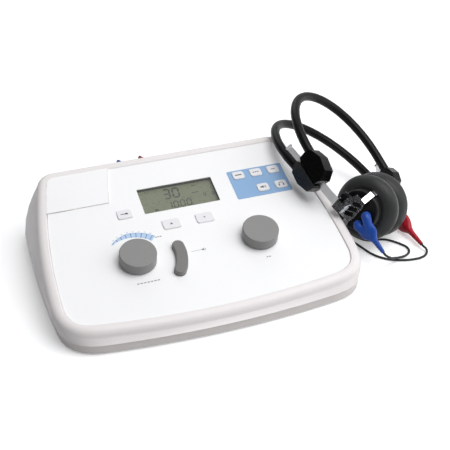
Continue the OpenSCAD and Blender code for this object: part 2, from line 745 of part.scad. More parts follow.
module cushion_at(side) {
  hole_r = 15;
  lip_s = cups_half_gap + 22;
  color([0.2, 0.2, 0.2]) on_cup(side) rotate_extrude($fn = 96) polygon([
    [hole_r, cups_half_gap + 2.5], [hole_r + 3, cups_half_gap + 0.5], [hole_r + 6, cups_half_gap],
    [cushion_r - 8, cups_half_gap], [cushion_r - 4.2, cups_half_gap + 1.6],
    [cushion_r - 1.4, cups_half_gap + 5.2], [cushion_r - 0.2, cups_half_gap + 9.4],
    [cushion_r, cups_half_gap + 12.2], [cushion_r - 0.6, cups_half_gap + 15],
    [cushion_r - 2.8, cups_half_gap + 18], [cushion_r - 6.4, cups_half_gap + 20.6],
    [capsule_r + 2, lip_s], [capsule_r + 0.1, lip_s],
    [capsule_r + 0.1, capsule_in - 0.1], [hole_r, capsule_in - 0.1]]);
}
module near_cushion() { cushion_at(-1); }
module far_cushion() { cushion_at(1); }

capsule_floor = 1.8;
module capsule_at(side) {
  color([0.08, 0.08, 0.08]) on_cup(side) difference() {
    rotate_extrude($fn = 96) polygon([[0, capsule_in], [capsule_r, capsule_in],
      [capsule_r, capsule_out - 4], [capsule_r - 0.8, capsule_out - 1.2],
      [capsule_r - 2.4, capsule_out], [0, capsule_out]]);
    translate([0, 0, capsule_in + capsule_floor])
      cylinder(h = capsule_d - 2 * capsule_floor - 0.6, r = capsule_r - 2.4);
    sound_holes();
    for (s = [-1, 1]) translate([0, s * (capsule_r + 1), pivot_s]) rotate([s * 90, 0, 0])
      cylinder(h = 3, r = pivot_pin_r + 0.05);
    boot_sockets(side);
  }
}
module sound_holes() {
  for (a = [0:60:300]) rotate([0, 0, a]) translate([7, 0, capsule_in - 1]) cylinder(h = 4, r = 1.4);
  translate([0, 0, capsule_in - 1]) cylinder(h = 4, r = 1.4);
}
module near_capsule() { capsule_at(-1); }
module far_capsule() { capsule_at(1); }

module driver_at(side) {
  color([0.55, 0.56, 0.6]) on_cup(side) {
    translate([0, 0, capsule_in + capsule_floor + 0.05]) cylinder(h = 1.2, r = capsule_r - 2.5);
    translate([0, 0, capsule_in + capsule_floor + 1]) cylinder(h = 7, r = 12);
  }
}
module near_driver() { driver_at(-1); }
module far_driver() { driver_at(1); }

// ---- yokes ----

// A stamped fork: a slotted fan plate behind the capsule, two arms that reach round it to the
// pivot pins, and a clamp that holds the rod's lower end.
fan = [[21, -7], [21, 12], [12.5, 13], [10, 14], [3.5, 14], [-3, 9.5], [-3, -9.5], [3.5, -14],
  [10, -14], [12.5, -8]];
fan_slots = [-6.6, 0, 6.6];
fan_slot = [9.5, 4.6];
fan_slot_x = 3.4;
fan_slot_turn = 32;
clamp_up = 9.5;
clamp_h = 10.5;
clamp_deep = [7.5, 12];
clamp_y = [[1, 12], [-3.4, 8.8]];
clamp_screw = [18, -3];
module yoke_at(side) {
  deep = side < 0 ? clamp_deep[0] : clamp_deep[1];
  grip = side < 0 ? clamp_y[0] : clamp_y[1];
  color([0.8, 0.8, 0.82]) {
    on_cup(side) {
      difference() {
        translate([0, 0, back_s]) linear_extrude(yoke_t) polygon(fan);
        for (y = fan_slots) translate([fan_slot_x, y, back_s - 1]) rotate([0, 0, fan_slot_turn])
          linear_extrude(yoke_t + 2) square(fan_slot, center = true);
      }
      for (s = [-1, 1]) yoke_arm(s);
    }
    difference() {
      on_cup(side) translate([clamp_up, grip[0], back_s + yoke_t - 0.4])
        cube([clamp_h, grip[1] - grip[0], deep]);
      on_headset() on_rod(side) translate([-rod_w / 2 - 0.05, -rod_t / 2 - 0.05, -100])
        cube([rod_w + 0.1, rod_t + 0.1, 200]);
    }
  }
  color([0.1, 0.1, 0.1]) on_cup(side) translate([clamp_screw[0], clamp_screw[1], back_s - 1.5]) {
    cylinder(h = 5.5, r = 3.6);
  }
}
module yoke_arm(s) {
  arm_end = pivot_s - 2.6;
  arm_bend = capsule_out - 2;
  mirror([0, s > 0 ? 0 : 1, 0]) translate([1 + arm_w / 2, 0, 0]) rotate([0, -90, 0])
    linear_extrude(arm_w) polygon([[back_s, fan_half - 4], [back_s + yoke_t, fan_half - 4],
      [back_s + yoke_t, fan_half - 0.4], [arm_bend + 0.8, arm_y + yoke_t], [arm_end, arm_y + yoke_t],
      [arm_end, arm_y], [arm_bend, arm_y], [back_s, fan_half - 1.6]]);
  translate([0, s * (arm_y + yoke_t + 0.6), pivot_s]) rotate([s * 90, 0, 0]) {
    cylinder(h = arm_gap + yoke_t + 0.6 + 1.6, r = pivot_pin_r);
    cylinder(h = 1, r = 2.2);
  }
}
fan_half = 14;
module near_yoke() { yoke_at(-1); }
module far_yoke() { yoke_at(1); }

// ---- boots and plugs ----

// The middle line of each boot in its cup's frame: pins, shoulder, neck and tip.
near_boot_line = [[-11, 3, 37], [-21, 4.8, 38.2], [-29.5, 6.2, 37], [-48, 10.2, 33.5]];
far_boot_line = [[-14.5, 3.6, 37], [-26, 3.2, 37.8], [-37, 1.8, 32.6], [-61.5, -2.6, 20.8]];
boot_radii = [4.2, 6.2, 4.4, 1.9];
boot_pins = 6.4;
boot_pin_r = 1;
boot_pin_in = 2.5;
function boot_line(side) = side < 0 ? near_boot_line : far_boot_line;
module boot_sockets(side) {
  for (s = [-1, 1]) translate([boot_line(side)[0][0], boot_line(side)[0][1] + s * boot_pins,
    capsule_out - boot_pin_in - 0.3]) cylinder(h = 4, r = boot_pin_r + 0.05);
}
module boot_at(side, hue) {
  line = boot_line(side);
  color("silver") on_cup(side) for (s = [-1, 1])
    translate([line[0][0], line[0][1] + s * boot_pins, capsule_out - boot_pin_in])
      cylinder(h = boot_pin_in + 1, r = boot_pin_r);
  color(hue) on_cup(side) {
    for (s = [-1, 1]) hull() {
      translate([line[0][0], line[0][1] + s * boot_pins, capsule_out + 0.1])
        cylinder(h = 7, r = boot_radii[0], $fn = 20);
      translate(line[1]) sphere(r = boot_radii[1] - 1.4, $fn = 20);
    }
    hull() {
      for (s = [-1, 1]) translate(line[1] + [2, s * 3.4, 0]) sphere(r = boot_radii[1] - 2, $fn = 20);
      translate(line[2]) sphere(r = boot_radii[2], $fn = 20);
    }
    hull() {
      translate(line[2]) sphere(r = boot_radii[2] - 0.6, $fn = 20);
      translate(line[3]) boot_tip(line[3] - line[2]);
    }
  }
}
// A short disc at the boot's tip, square to the last stretch of its line.
module boot_tip(d) {
  rotate([0, acos(d[2] / norm(d)), atan2(d[1], d[0])]) translate([0, 0, -1])
    cylinder(h = 1, r = boot_radii[3], $fn = 20);
}
module blue_boot() { boot_at(-1, [0.1, 0.35, 0.85]); }
module red_boot() { boot_at(1, [0.8, 0.05, 0.1]); }

plug_body_r = 5.6;
plug_body_l = 33;
plug_tail_l = 8.3;
plug_pin_l = 27;
plug_gap = 0.3;
module plug_at(x, hue) {
  color("silver") on_rear(x, jack_face_y - plug_pin_l + plug_gap, jack_z)
    cylinder(h = plug_pin_l + 1, r = plug_pin_d / 2);
  color(hue) on_rear(x, jack_face_y + plug_gap, jack_z) {
    cylinder(h = plug_body_l, r = plug_body_r);
    translate([0, 0, plug_body_l]) cylinder(h = plug_tail_l, r1 = plug_body_r - 1.2, r2 = lead_d / 2 + 0.8);
  }
}
module blue_plug() { plug_at(jack_places[0], [0.1, 0.35, 0.85]); }
module red_plug() { plug_at(jack_places[1], [0.8, 0.05, 0.1]); }

// ---- leads ----

lead_r = lead_d / 2;
lead_sides = 8;
floor_z = 1.3;
end_gap = 0.03;
plug_end_y = jack_face_y + plug_gap + plug_body_l + plug_tail_l;

// Where a boot's tip lies on the table's side of things: headset frame to console frame.
function turn(a, v) =
  let (x = [v[0], v[1] * cos(a[0]) - v[2] * sin(a[0]), v[1] * sin(a[0]) + v[2] * cos(a[0])],
    y = [x[0] * cos(a[1]) + x[2] * sin(a[1]), x[1], -x[0] * sin(a[1]) + x[2] * cos(a[1])])
  [y[0] * cos(a[2]) - y[1] * sin(a[2]), y[0] * sin(a[2]) + y[1] * cos(a[2]), y[2]];
function cup_point(side, p) =
  headset_at + turn(headset_turn, cups_at + turn([0, cups_turn, 0], [side * p[2], p[1], p[0]]));
function boot_way(side) = unit(cup_point(side, boot_line(side)[3]) - cup_point(side, boot_line(side)[2]));
function boot_exit(side) = cup_point(side, boot_line(side)[3]) + end_gap * boot_way(side);

// Wound coils: four layers of loops that spiral in and out by turns.
coil_mid_r = 14.5;
coil_pitch = 3.2;
coil_turns = 2.5;
coil_z = 2.4;
coil_steps = 24;
coil_in_r = coil_mid_r - coil_pitch * coil_turns / 2;
coil_out_r = coil_mid_r + coil_pitch * coil_turns / 2;
// Radius and height after t turns; each layer takes coil_turns and each climb half a turn.
function coil_layer(t) = floor(t / (coil_turns + 0.5));
function coil_at(t) =
  let (k = min(coil_layer(t), 3), u = t - k * (coil_turns + 0.5), lay = min(u, k < 3 ? coil_turns : u),
    climb = max(u - coil_turns, 0) * 2, up = k < 3 ? climb : 0)
  [k % 2 == 0 ? coil_out_r - coil_pitch * lay : coil_in_r + coil_pitch * lay,
    coil_z + coil_pitch * (k + up)];
coil_total = 12;
// The coil starts at its front point, heading -X, and ends there four layers up.
function coil_path(at) = concat(
  [[at[0] + lead_d, at[1] - coil_out_r, coil_z]],
  [for (i = [0:coil_total * coil_steps]) let (t = i / coil_steps, c = coil_at(t), a = -90 - 360 * t)
    [at[0] + c[0] * cos(a), at[1] + c[0] * sin(a), c[1]]],
  [coil_end(at)]);
function coil_end(at) = [at[0] - lead_d, at[1] - coil_at(coil_total)[0], coil_at(coil_total)[1]];
function coil_start(at) = [at[0] + lead_d, at[1] - coil_out_r, coil_z];
blue_coil_at = [100, 186];
red_coil_at = [35, 166];

// Free stretches, in the console's frame.
blue_lead_points = concat(
  [boot_exit(-1), boot_exit(-1) + lead_d * boot_way(-1)],
  [[186, -40, 12], [194, -36.5, 7], [204, -32.5, 3], [212, -29, floor_z], [217.5, -24, floor_z],
    [218.5, -17.5, floor_z], [214.5, -9.5, floor_z], [208.5, -2, floor_z], [202, 3, floor_z],
    [194, 4.8, floor_z], [186.5, 6.2, floor_z], [179.5, 12, floor_z], [174, 24, floor_z],
    [170, 44, floor_z],
    [168.5, 100, floor_z], [168.5, 135, floor_z], [166, 148, floor_z], [159, 159, floor_z],
    [148, 165.5, floor_z], [132, 167.3, 1.6], [116, 167.5, 2.2], coil_start(blue_coil_at) + [5, 0, 0]],
  [coil_start(blue_coil_at)]);
red_lead_points = concat(
  [boot_exit(1), boot_exit(1) + lead_d * boot_way(1)],
  [[234.5, -29, 3.2], [231.5, -34.5, 1.8], [225, -37.5, floor_z], [216, -38, floor_z],
    [205, -36, floor_z], [194, -31.5, floor_z], [185, -24.5, floor_z], [178.5, -15, floor_z],
    [174.5, -4, floor_z], [170, 9, floor_z], [165, 24, floor_z], [162, 45, floor_z],
    [161.5, 80, floor_z], [161.5, 118, floor_z], [160.5, 130, floor_z], [156, 139.5, floor_z],
    [147, 145.5, floor_z], [134, 147.4, floor_z], [90, 147.5, floor_z], [60, 147.5, 1.6],
    coil_start(red_coil_at) + [6, 0, 0]],
  [coil_start(red_coil_at)]);
blue_tail_points = concat(
  [coil_end(blue_coil_at), coil_end(blue_coil_at) - [5, 0, 0]],
  [[80, 167.5, 10], [70, 174, 7], [62, 184, 4], [53, 192.5, 2], [42, 196.5, floor_z],
    [20, 198, floor_z], [-2, 198.5, 1.6], [-16, 198.5, 4], [-28, 196.5, 10], [-35, 193, 19],
    [-37.6, 189, 29], [-38, 185, 37], [-38, 181.3, 42]],
  [[-38, plug_end_y + lead_d, 44], [-38, plug_end_y + end_gap, 44]]);
red_tail_points = concat(
  [coil_end(red_coil_at), coil_end(red_coil_at) - [5, 0, 0]],
  [[18, 151, 11], [8, 160, 9.5], [1, 170, 9.5], [-4, 179, 12.5], [-8, 185, 18], [-11, 187.6, 26],
    [-12.6, 186.8, 34], [-13, 184, 40], [-13, 181, 43]],
  [[-13, plug_end_y + lead_d, 44], [-13, plug_end_y + end_gap, 44]]);

module stretch(points) { color([0.13, 0.13, 0.14]) at_knob_line() tube(points, lead_r, lead_sides); }
module blue_lead() { stretch(blue_lead_points); }
module red_lead() { stretch(red_lead_points); }
module blue_tail() { stretch(blue_tail_points); }
module red_tail() { stretch(red_tail_points); }
module wound(at) { color([0.13, 0.13, 0.14]) at_knob_line() tube(coil_path(at), lead_r, 6); }
module blue_coil() { wound(blue_coil_at); }
module red_coil() { wound(red_coil_at); }

tie_w = 4;
tie_t = 0.7;
tie_gap = 0.5;
module coil_ties() {
  low = coil_in_r - lead_r - tie_gap;
  high = coil_at(coil_total)[0] + lead_r + tie_gap;
  bottom = coil_z - lead_r - 0.25;
  top = coil_z + 3 * coil_pitch + lead_r + 0.25;
  color([0.1, 0.1, 0.1]) at_knob_line() for (at = [blue_coil_at, red_coil_at]) difference() {
    translate([at[0] - high - tie_t, at[1] - tie_w / 2, bottom - tie_t])
      cube([high - low + 2 * tie_t, tie_w, top - bottom + 2 * tie_t]);
    translate([at[0] - high, at[1] - tie_w, bottom]) cube([high - low, 2 * tie_w, top - bottom]);
  }
}

// Least distance between the middle lines of a coil's own turns, and the lengths of the leads.
coil_line = coil_path([0, 0]);
function coil_own_gap() = min([for (i = [0:2:len(coil_line) - 1], j = [i + 12:1:len(coil_line) - 1])
  norm(coil_line[i] - coil_line[j])]) - lead_d;
echo(coil_own_gap = coil_own_gap());
for (l = [["blue", blue_lead_points, blue_tail_points], ["red", red_lead_points, red_tail_points]])
  echo(lead = l[0], length = path_length(l[1]) + path_length(coil_line) + path_length(l[2]),
    rings = len(l[1]) + len(l[2]));

base_shell();
top_shell();
overlay_panel();
display_window();
lcd_module();
main_board();
key_switches();
encoders();
left_shaft();
right_shaft();
left_knob();
right_knob();
tone_bar();
display_key_side();
display_key_left();
display_key_right();
mode_key_1();
mode_key_2();
mode_key_3();
mode_key_4();
mode_key_5();
rear_plate();
phone_jacks();
power_inlet();
power_rocker();
foot_strips();
case_screws();
upper_sleeve();
lower_sleeve();
band_wires();
near_block();
far_block();
near_rod();
far_rod();
near_yoke();
far_yoke();
near_capsule();
far_capsule();
near_driver();
far_driver();
near_cushion();
far_cushion();
blue_boot();
red_boot();
blue_plug();
red_plug();
blue_lead();
red_lead();
blue_coil();
red_coil();
blue_tail();
red_tail();
coil_ties();
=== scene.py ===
"""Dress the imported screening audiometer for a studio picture.

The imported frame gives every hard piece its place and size. This script gives each one its
finish, and builds anew what the frame only roughs out: the two earphone leads with their
coils, the padded bands, the ear cushions, the moulded boots and plugs, the print on the
control deck and the reading on the display. Lengths are millimetres in the frame's own axes
and become metres when a mesh is made.
"""

import json
import logging
import math
from dataclasses import dataclass, field
from enum import Enum
from typing import Callable, Iterable, NamedTuple, Sequence

import bmesh
import bpy
from mathutils import Matrix, Vector
from mathutils.geometry import tessellate_polygon

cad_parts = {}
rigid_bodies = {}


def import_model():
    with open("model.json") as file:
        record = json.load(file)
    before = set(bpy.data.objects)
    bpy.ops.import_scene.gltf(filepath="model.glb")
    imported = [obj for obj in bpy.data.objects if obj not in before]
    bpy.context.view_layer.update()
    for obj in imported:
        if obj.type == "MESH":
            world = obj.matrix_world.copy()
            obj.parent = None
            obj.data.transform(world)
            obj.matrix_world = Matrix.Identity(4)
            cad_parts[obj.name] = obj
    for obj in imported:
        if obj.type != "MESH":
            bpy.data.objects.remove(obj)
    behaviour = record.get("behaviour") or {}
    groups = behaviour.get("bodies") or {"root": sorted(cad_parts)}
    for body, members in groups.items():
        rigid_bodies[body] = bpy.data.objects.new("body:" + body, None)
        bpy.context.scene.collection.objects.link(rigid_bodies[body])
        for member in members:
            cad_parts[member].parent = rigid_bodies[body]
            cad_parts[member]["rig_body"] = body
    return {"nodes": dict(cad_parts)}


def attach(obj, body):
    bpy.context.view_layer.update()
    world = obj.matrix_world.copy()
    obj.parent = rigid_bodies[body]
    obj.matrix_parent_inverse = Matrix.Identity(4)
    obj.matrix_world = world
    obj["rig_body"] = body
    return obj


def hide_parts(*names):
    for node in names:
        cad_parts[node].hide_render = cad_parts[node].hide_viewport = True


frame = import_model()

LOG = logging.getLogger("audiometer")
MM = 0.001

Colour = tuple[float, float, float]
Point = Sequence[float]
Outline = list[tuple[float, float]]
Socket = bpy.types.NodeSocket
Piece = bpy.types.Object


class Side(Enum):
    """Which earphone a piece belongs to."""

    NEAR = -1
    FAR = 1

    @property
    def word(self) -> str:
        """The side's name as the frame's nodes spell it."""
        return self.name.lower()


class Solid(NamedTuple):
    """Corner points in millimetres and the faces that join them."""

    points: list[Vector]
    faces: list[tuple[int, ...]]


def shade(code: str) -> Colour:
    """Turn a screen colour into the linear values that a shader takes.

    Args:
        code: Six hexadecimal digits, red first.

    Returns:
        Linear red, green and blue.
    """
    parts = [int(code[i : i + 2], 16) / 255 for i in (0, 2, 4)]
    linear = [p / 12.92 if p <= 0.04045 else ((p + 0.055) / 1.055) ** 2.4 for p in parts]
    return (linear[0], linear[1], linear[2])


# ---- frames of reference ----

KNOB_LINE = 48.0
DECK_TILT = 13.8
DECK_Z = 38.0
JACK_Z = 44.0
PLATE_FACE = 132.3
BLUE_JACK = -38.0
RED_JACK = -13.0
SPARE_JACK = 12.0
HEADSET_AT = (183.1, 71.7, 52.5)
HEADSET_TURN = (-67.2, 25.4, 22.3)
CUPS_AT = (-4.7, -2.7, -57.0)
CUPS_TURN = -13.5


def console_frame() -> Matrix:
    """The console's own axes: the knob line is its depth zero."""
    return Matrix.Translation((0, KNOB_LINE, 0))


def deck_frame() -> Matrix:
    """The control deck's axes: across, up the slope and square out of the overlay."""
    tilt = Matrix.Rotation(math.radians(DECK_TILT), 4, "X")
    return Matrix.Translation((0, KNOB_LINE, DECK_Z)) @ tilt


def headset_frame() -> Matrix:
    """The headset's axes: X from the near cup to the far one, Z towards the crown."""
    turns = [Matrix.Rotation(math.radians(a), 4, axis) for a, axis in zip(HEADSET_TURN, "XYZ")]
    return console_frame() @ Matrix.Translation(HEADSET_AT) @ turns[2] @ turns[1] @ turns[0]


def cup_frame(side: Side) -> Matrix:
    """One cup's axes: X up the headset, Z out of the cup's back.

    Args:
        side: The earphone.

    Returns:
        The matrix from cup axes to the frame's axes.
    """
    turn = Matrix.Rotation(math.radians(CUPS_TURN), 4, "Y")
    axes = Matrix(((0, 0, side.value, 0), (0, 1, 0, 0), (1, 0, 0, 0), (0, 0, 0, 1)))
    return headset_frame() @ Matrix.Translation(CUPS_AT) @ turn @ axes


def rear_frame(across: float, depth: float, height: float) -> Matrix:
    """Axes of a round piece in the rear wall, with Z pointing out of the wall."""
    place = Matrix.Translation((across, KNOB_LINE + depth, height))
    return place @ Matrix.Rotation(math.radians(-90), 4, "X")


# ---- finishes ----


class Graph:
    """Adds shader nodes to one material and joins them."""

    def __init__(self, name: str) -> None:
        """Start a material with its plain shader.

        Args:
            name: The material's name.
        """
        self.material = bpy.data.materials.new(name)
        self.material.use_nodes = True
        self.tree = self.material.node_tree
        self.shader = self.tree.nodes["Principled BSDF"]
        self.place = self.tree.nodes.new("ShaderNodeTexCoord").outputs["Object"]

    def add(self, kind: str, **settings: object) -> bpy.types.Node:
        """Add a node.

        Args:
            kind: The node's type, without its prefix.
            **settings: Attributes of the node.

        Returns:
            The node.
        """
        node = self.tree.nodes.new("ShaderNode" + kind)
        for key, value in settings.items():
            setattr(node, key, value)
        return node

    def link(self, source: Socket, target: Socket) -> None:
        """Join two sockets."""
        self.tree.links.new(source, target)

    def noise(self, size_mm: float, detail: float = 3, stretch: Point = (1, 1, 1)) -> Socket:
        """Soft noise laid over the piece.

        Args:
            size_mm: Size of one patch.
            detail: Octaves of finer noise on top.
            stretch: How much the noise is squeezed along each axis.

        Returns:
            The noise's value, about 0 to 1.
        """
        place = self.place
        if tuple(stretch) != (1, 1, 1):
            squeeze = self.add("Mapping")
            squeeze.inputs["Scale"].default_value = stretch
            self.link(self.place, squeeze.inputs["Vector"])
            place = squeeze.outputs["Vector"]
        node = self.add("TexNoise")
        node.inputs["Scale"].default_value = 1 / (size_mm * MM)
        node.inputs["Detail"].default_value = detail
        self.link(place, node.inputs["Vector"])
        return node.outputs["Fac"]

    def cells(self, size_mm: float) -> Socket:
        """Distance to the nearest of many scattered points, for moulded grain."""
        node = self.add("TexVoronoi")
        node.inputs["Scale"].default_value = 1 / (size_mm * MM)
        self.link(self.place, node.inputs["Vector"])
        return node.outputs["Distance"]

    def between(self, value: Socket, low: float, high: float) -> Socket:
        """Map a noise value onto a range.

        Args:
            value: A value whose useful part runs from 0.3 to 0.7.
            low: What 0.3 becomes.
            high: What 0.7 becomes.

        Returns:
            The mapped value.
        """
        node = self.add("MapRange")
        node.inputs["From Min"].default_value = 0.3
        node.inputs["From Max"].default_value = 0.7
        node.inputs["To Min"].default_value = low
        node.inputs["To Max"].default_value = high
        self.link(value, node.inputs["Value"])
        return node.outputs["Result"]

    def blend(self, share: Socket, low: Colour, high: Colour) -> Socket:
        """Mix two colours by a value."""
        node = self.add("Mix", data_type="RGBA")
        self.link(share, node.inputs["Factor"])
        colours = [s for s in node.inputs if s.type == "RGBA"]
        colours[0].default_value = (*low, 1)
        colours[1].default_value = (*high, 1)
        return [s for s in node.outputs if s.type == "RGBA"][0]

    def over(self, share: Socket, under: Socket, top: Colour) -> Socket:
        """Lay a colour over another one by a value."""
        node = self.add("Mix", data_type="RGBA")
        colours = [s for s in node.inputs if s.type == "RGBA"]
        self.link(share, node.inputs["Factor"])
        self.link(under, colours[0])
        colours[1].default_value = (*top, 1)
        return [s for s in node.outputs if s.type == "RGBA"][0]

    def bump(self, height: Socket, strength: float, depth_mm: float) -> None:
        """Press a height into the surface.

        Args:
            height: The height's value.
            strength: How strongly it shows.
            depth_mm: How deep it is.
        """
        node = self.add("Bump")
        node.inputs["Strength"].default_value = strength
        node.inputs["Distance"].default_value = depth_mm * MM
        self.link(height, node.inputs["Height"])
        self.link(node.outputs["Normal"], self.shader.inputs["Normal"])

    def set(self, name: str, value: object) -> None:
        """Set one of the shader's own values."""
        self.shader.inputs[name].default_value = value


def scaled(colour: Colour, share: float) -> Colour:
    """A colour made lighter or darker, kept inside the displayable range."""
    return tuple(min(max(c * share, 0.0), 1.0) for c in colour)


@dataclass(frozen=True)
class Moulded:
    """A moulded plastic or rubber skin.

    Attributes:
        name: The material's name.
        slot: The record's material slot that it stands for.
        colour: Its middle colour, linear.
        drift: Share by which broad patches are lighter or darker.
        patch_mm: Size of those patches.
        roughness: How matt it is.
        grain_mm: Size of the mould's grain.
        grain: How strongly the grain shows.
        coat: Strength of a clear glossy skin on top.
        sheen: Strength of the soft bloom that dust and rubber show.
        edge: How much lighter sharp edges are, a painted highlight.
        shine: Strength of its own reflections; 0.5 is bare plastic.
    """

    name: str
    slot: str
    colour: Colour
    drift: float = 0.05
    patch_mm: float = 28.0
    roughness: float = 0.45
    grain_mm: float = 0.5
    grain: float = 0.15
    coat: float = 0.0
    sheen: float = 0.0
    edge: float = 0.0
    shine: float = 0.5

    def material(self) -> bpy.types.Material:
        """Build the finish's nodes."""
        graph = Graph(self.name)
        broad = graph.noise(self.patch_mm, 2)
        fine = graph.noise(self.grain_mm * 3, 4)
        colour = graph.blend(broad, scaled(self.colour, 1 - self.drift), scaled(self.colour, 1 + self.drift))
        speck = graph.between(fine, 0.0, 0.12)
        colour = graph.over(speck, colour, scaled(self.colour, 0.72))
        # Painted highlight: sharp edges, found by pointiness, are coloured lighter.
        if self.edge:
            sharp = graph.add("MapRange")
            sharp.inputs["From Min"].default_value = 0.52
            sharp.inputs["From Max"].default_value = 0.66
            sharp.inputs["To Max"].default_value = self.edge
            graph.link(graph.add("NewGeometry").outputs["Pointiness"], sharp.inputs["Value"])
            colour = graph.over(sharp.outputs["Result"], colour, scaled(self.colour, 2.4))
        graph.link(colour, graph.shader.inputs["Base Color"])
        rough = graph.between(graph.noise(self.patch_mm / 3, 3), self.roughness - 0.05, self.roughness + 0.06)
        graph.link(rough, graph.shader.inputs["Roughness"])
        graph.set("Specular IOR Level", self.shine)
        graph.set("Coat Weight", self.coat)
        graph.set("Coat Roughness", 0.15)
        graph.set("Sheen Weight", self.sheen)
        graph.set("Sheen Roughness", 0.5)
        graph.bump(graph.cells(self.grain_mm), self.grain, 0.06)
        return graph.material


@dataclass(frozen=True)
class Plated:
    """Plated or turned metal, with faint streaks along one axis.

    Attributes:
        name: The material's name.
        slot: The record's material slot that it stands for.
        colour: Its reflected colour, linear.
        roughness: How blurred its reflections are.
        streak: How far the streaks are drawn out along each axis.
    """

    name: str
    slot: str
    colour: Colour
    roughness: float = 0.14
    streak: tuple[float, float, float] = (1.0, 1.0, 6.0)

    def material(self) -> bpy.types.Material:
        """Build the finish's nodes."""
        graph = Graph(self.name)
        broad = graph.noise(9, 2)
        colour = graph.blend(broad, scaled(self.colour, 0.9), scaled(self.colour, 1.06))
        graph.link(colour, graph.shader.inputs["Base Color"])
        graph.set("Metallic", 1.0)
        rough = graph.between(graph.noise(1.2, 4, self.streak), self.roughness - 0.04, self.roughness + 0.09)
        graph.link(rough, graph.shader.inputs["Roughness"])
        graph.bump(graph.noise(0.5, 3, self.streak), 0.08, 0.02)
        return graph.material


@dataclass(frozen=True)
class Clear:
    """A thin clear window.

    Attributes:
        name: The material's name.
        slot: The record's material slot that it stands for.
        tint: Its colour, linear.
        cover: How much of what lies beneath it hides.
    """

    name: str
    slot: str
    tint: Colour
    cover: float = 0.1

    def material(self) -> bpy.types.Material:
        """Build the finish's nodes."""
        graph = Graph(self.name)
        colour = graph.blend(graph.noise(24, 2), scaled(self.tint, 0.95), scaled(self.tint, 1.0))
        graph.link(colour, graph.shader.inputs["Base Color"])
        rough = graph.between(graph.noise(15, 3), 0.04, 0.1)
        graph.link(rough, graph.shader.inputs["Roughness"])
        graph.set("Alpha", self.cover)
        graph.bump(graph.noise(6, 2), 0.02, 0.02)
        return graph.material


@dataclass(frozen=True)
class CircuitBoard:
    """A lacquered board with copper runs under its green mask.

    Attributes:
        name: The material's name.
        slot: The record's material slot that it stands for.
        colour: The mask's colour, linear.
    """

    name: str
    slot: str
    colour: Colour

    def material(self) -> bpy.types.Material:
        """Build the finish's nodes."""
        graph = Graph(self.name)
        runs = graph.add("TexBrick")
        runs.inputs["Scale"].default_value = 90
        runs.inputs["Color1"].default_value = (*self.colour, 1)
        runs.inputs["Color2"].default_value = (*scaled(self.colour, 0.82), 1)
        runs.inputs["Mortar"].default_value = (*scaled(self.colour, 2.2), 1)
        graph.link(graph.place, runs.inputs["Vector"])
        spots = graph.between(graph.noise(4, 3), 0, 0.35)
        colour = graph.over(spots, runs.outputs["Color"], scaled(self.colour, 0.6))
        graph.link(colour, graph.shader.inputs["Base Color"])
        graph.link(graph.between(graph.noise(10, 3), 0.3, 0.5), graph.shader.inputs["Roughness"])
        graph.bump(runs.outputs["Fac"], 0.2, 0.1)
        return graph.material


def ink(name: str, code: str, drift: float, patch_mm: float, slot: str = "white_overlay") -> Moulded:
    """A printed ink.

    Args:
        name: The material's name.
        code: Its screen colour.
        drift: Share by which patches are lighter or darker.
        patch_mm: Size of those patches.
        slot: The record's material slot that it stands for.

    Returns:
        The finish.
    """
    return Moulded(name, slot, shade(code), drift, patch_mm, roughness=0.5, grain_mm=0.3, grain=0.05)


WARM_WHITE = Moulded("shell_plastic", "cream_shell", shade("EDE8E8"),
    drift=0.015, patch_mm=60, roughness=0.42, grain_mm=0.45, grain=0.12, coat=0.1)
TRAY_GREY = Moulded("tray_plastic", "grey_tray", shade("E4DEDC"),
    drift=0.02, patch_mm=60, roughness=0.48, grain=0.18)
OVERLAY_WHITE = Moulded("overlay_film", "white_overlay", shade("FAFAFB"),
    drift=0.008, patch_mm=70, roughness=0.5, grain_mm=0.3, grain=0.05)
KEY_WHITE = Moulded("key_caps", "white_keys", shade("ECECEF"),
    drift=0.015, patch_mm=8, roughness=0.4, grain_mm=0.35, grain=0.08, coat=0.1)
# edge paints a highlight on sharp edges
KNOB_GREY = Moulded("knob_plastic", "grey_knob", shade("868584"),
    drift=0.03, patch_mm=12, roughness=0.5, grain_mm=0.4, grain=0.3, sheen=0.12, edge=0.1)
BAR_GREY = Moulded("bar_rubber", "grey_knob", shade("787674"),
    drift=0.04, patch_mm=8, roughness=0.55, grain_mm=0.35, grain=0.3, sheen=0.25)
SCREEN_CLEAR = Clear("window_sheet", "clear_window", shade("DDE6E4"), cover=0.05)
SCREEN_OLIVE = Moulded("display_glass", "lcd_panel", shade("767960"),
    drift=0.04, patch_mm=18, roughness=0.3, grain_mm=0.6, grain=0.03)
BOARD_GREEN = CircuitBoard("board_lacquer", "board", shade("1F6B3A"))
TURNED_STEEL = Plated("turned_steel", "steel", shade("BFC0C2"), roughness=0.25)
CHROME = Plated("chrome_plate", "chrome", shade("D0D2D5"), roughness=0.09)
# Painted light: a lighter copy of the chrome, so that the rods read lit.
LIT_ROD_CHROME = Plated("rod_chrome", "chrome", shade("F2F2F3"), roughness=0.34, streak=(1.0, 1.0, 8.0))
# edge paints a highlight on sharp edges
BLACK_PLASTIC = Moulded("black_plastic", "dark_plastic", shade("0B0B0C"),
    drift=0.1, patch_mm=10, roughness=0.24, edge=0.1, shine=0.22)
# edge paints a highlight on sharp edges
DARK_PLASTIC = Moulded("case_black", "dark_plastic", shade("121213"),
    drift=0.08, patch_mm=14, roughness=0.34, grain_mm=0.6, grain=0.22, sheen=0.02, edge=0.15,
    shine=0.24)
REAR_GREY = Moulded("rear_plate_plastic", "dark_plastic", shade("4B4B4E"),
    drift=0.04, patch_mm=20, roughness=0.5, grain=0.25)
BAND_BLACK = Moulded("band_sleeve", "band_rubber", shade("0C0C0D"),
    drift=0.12, patch_mm=12, roughness=0.36, grain_mm=0.7, grain=0.3, sheen=0.03, shine=0.2)
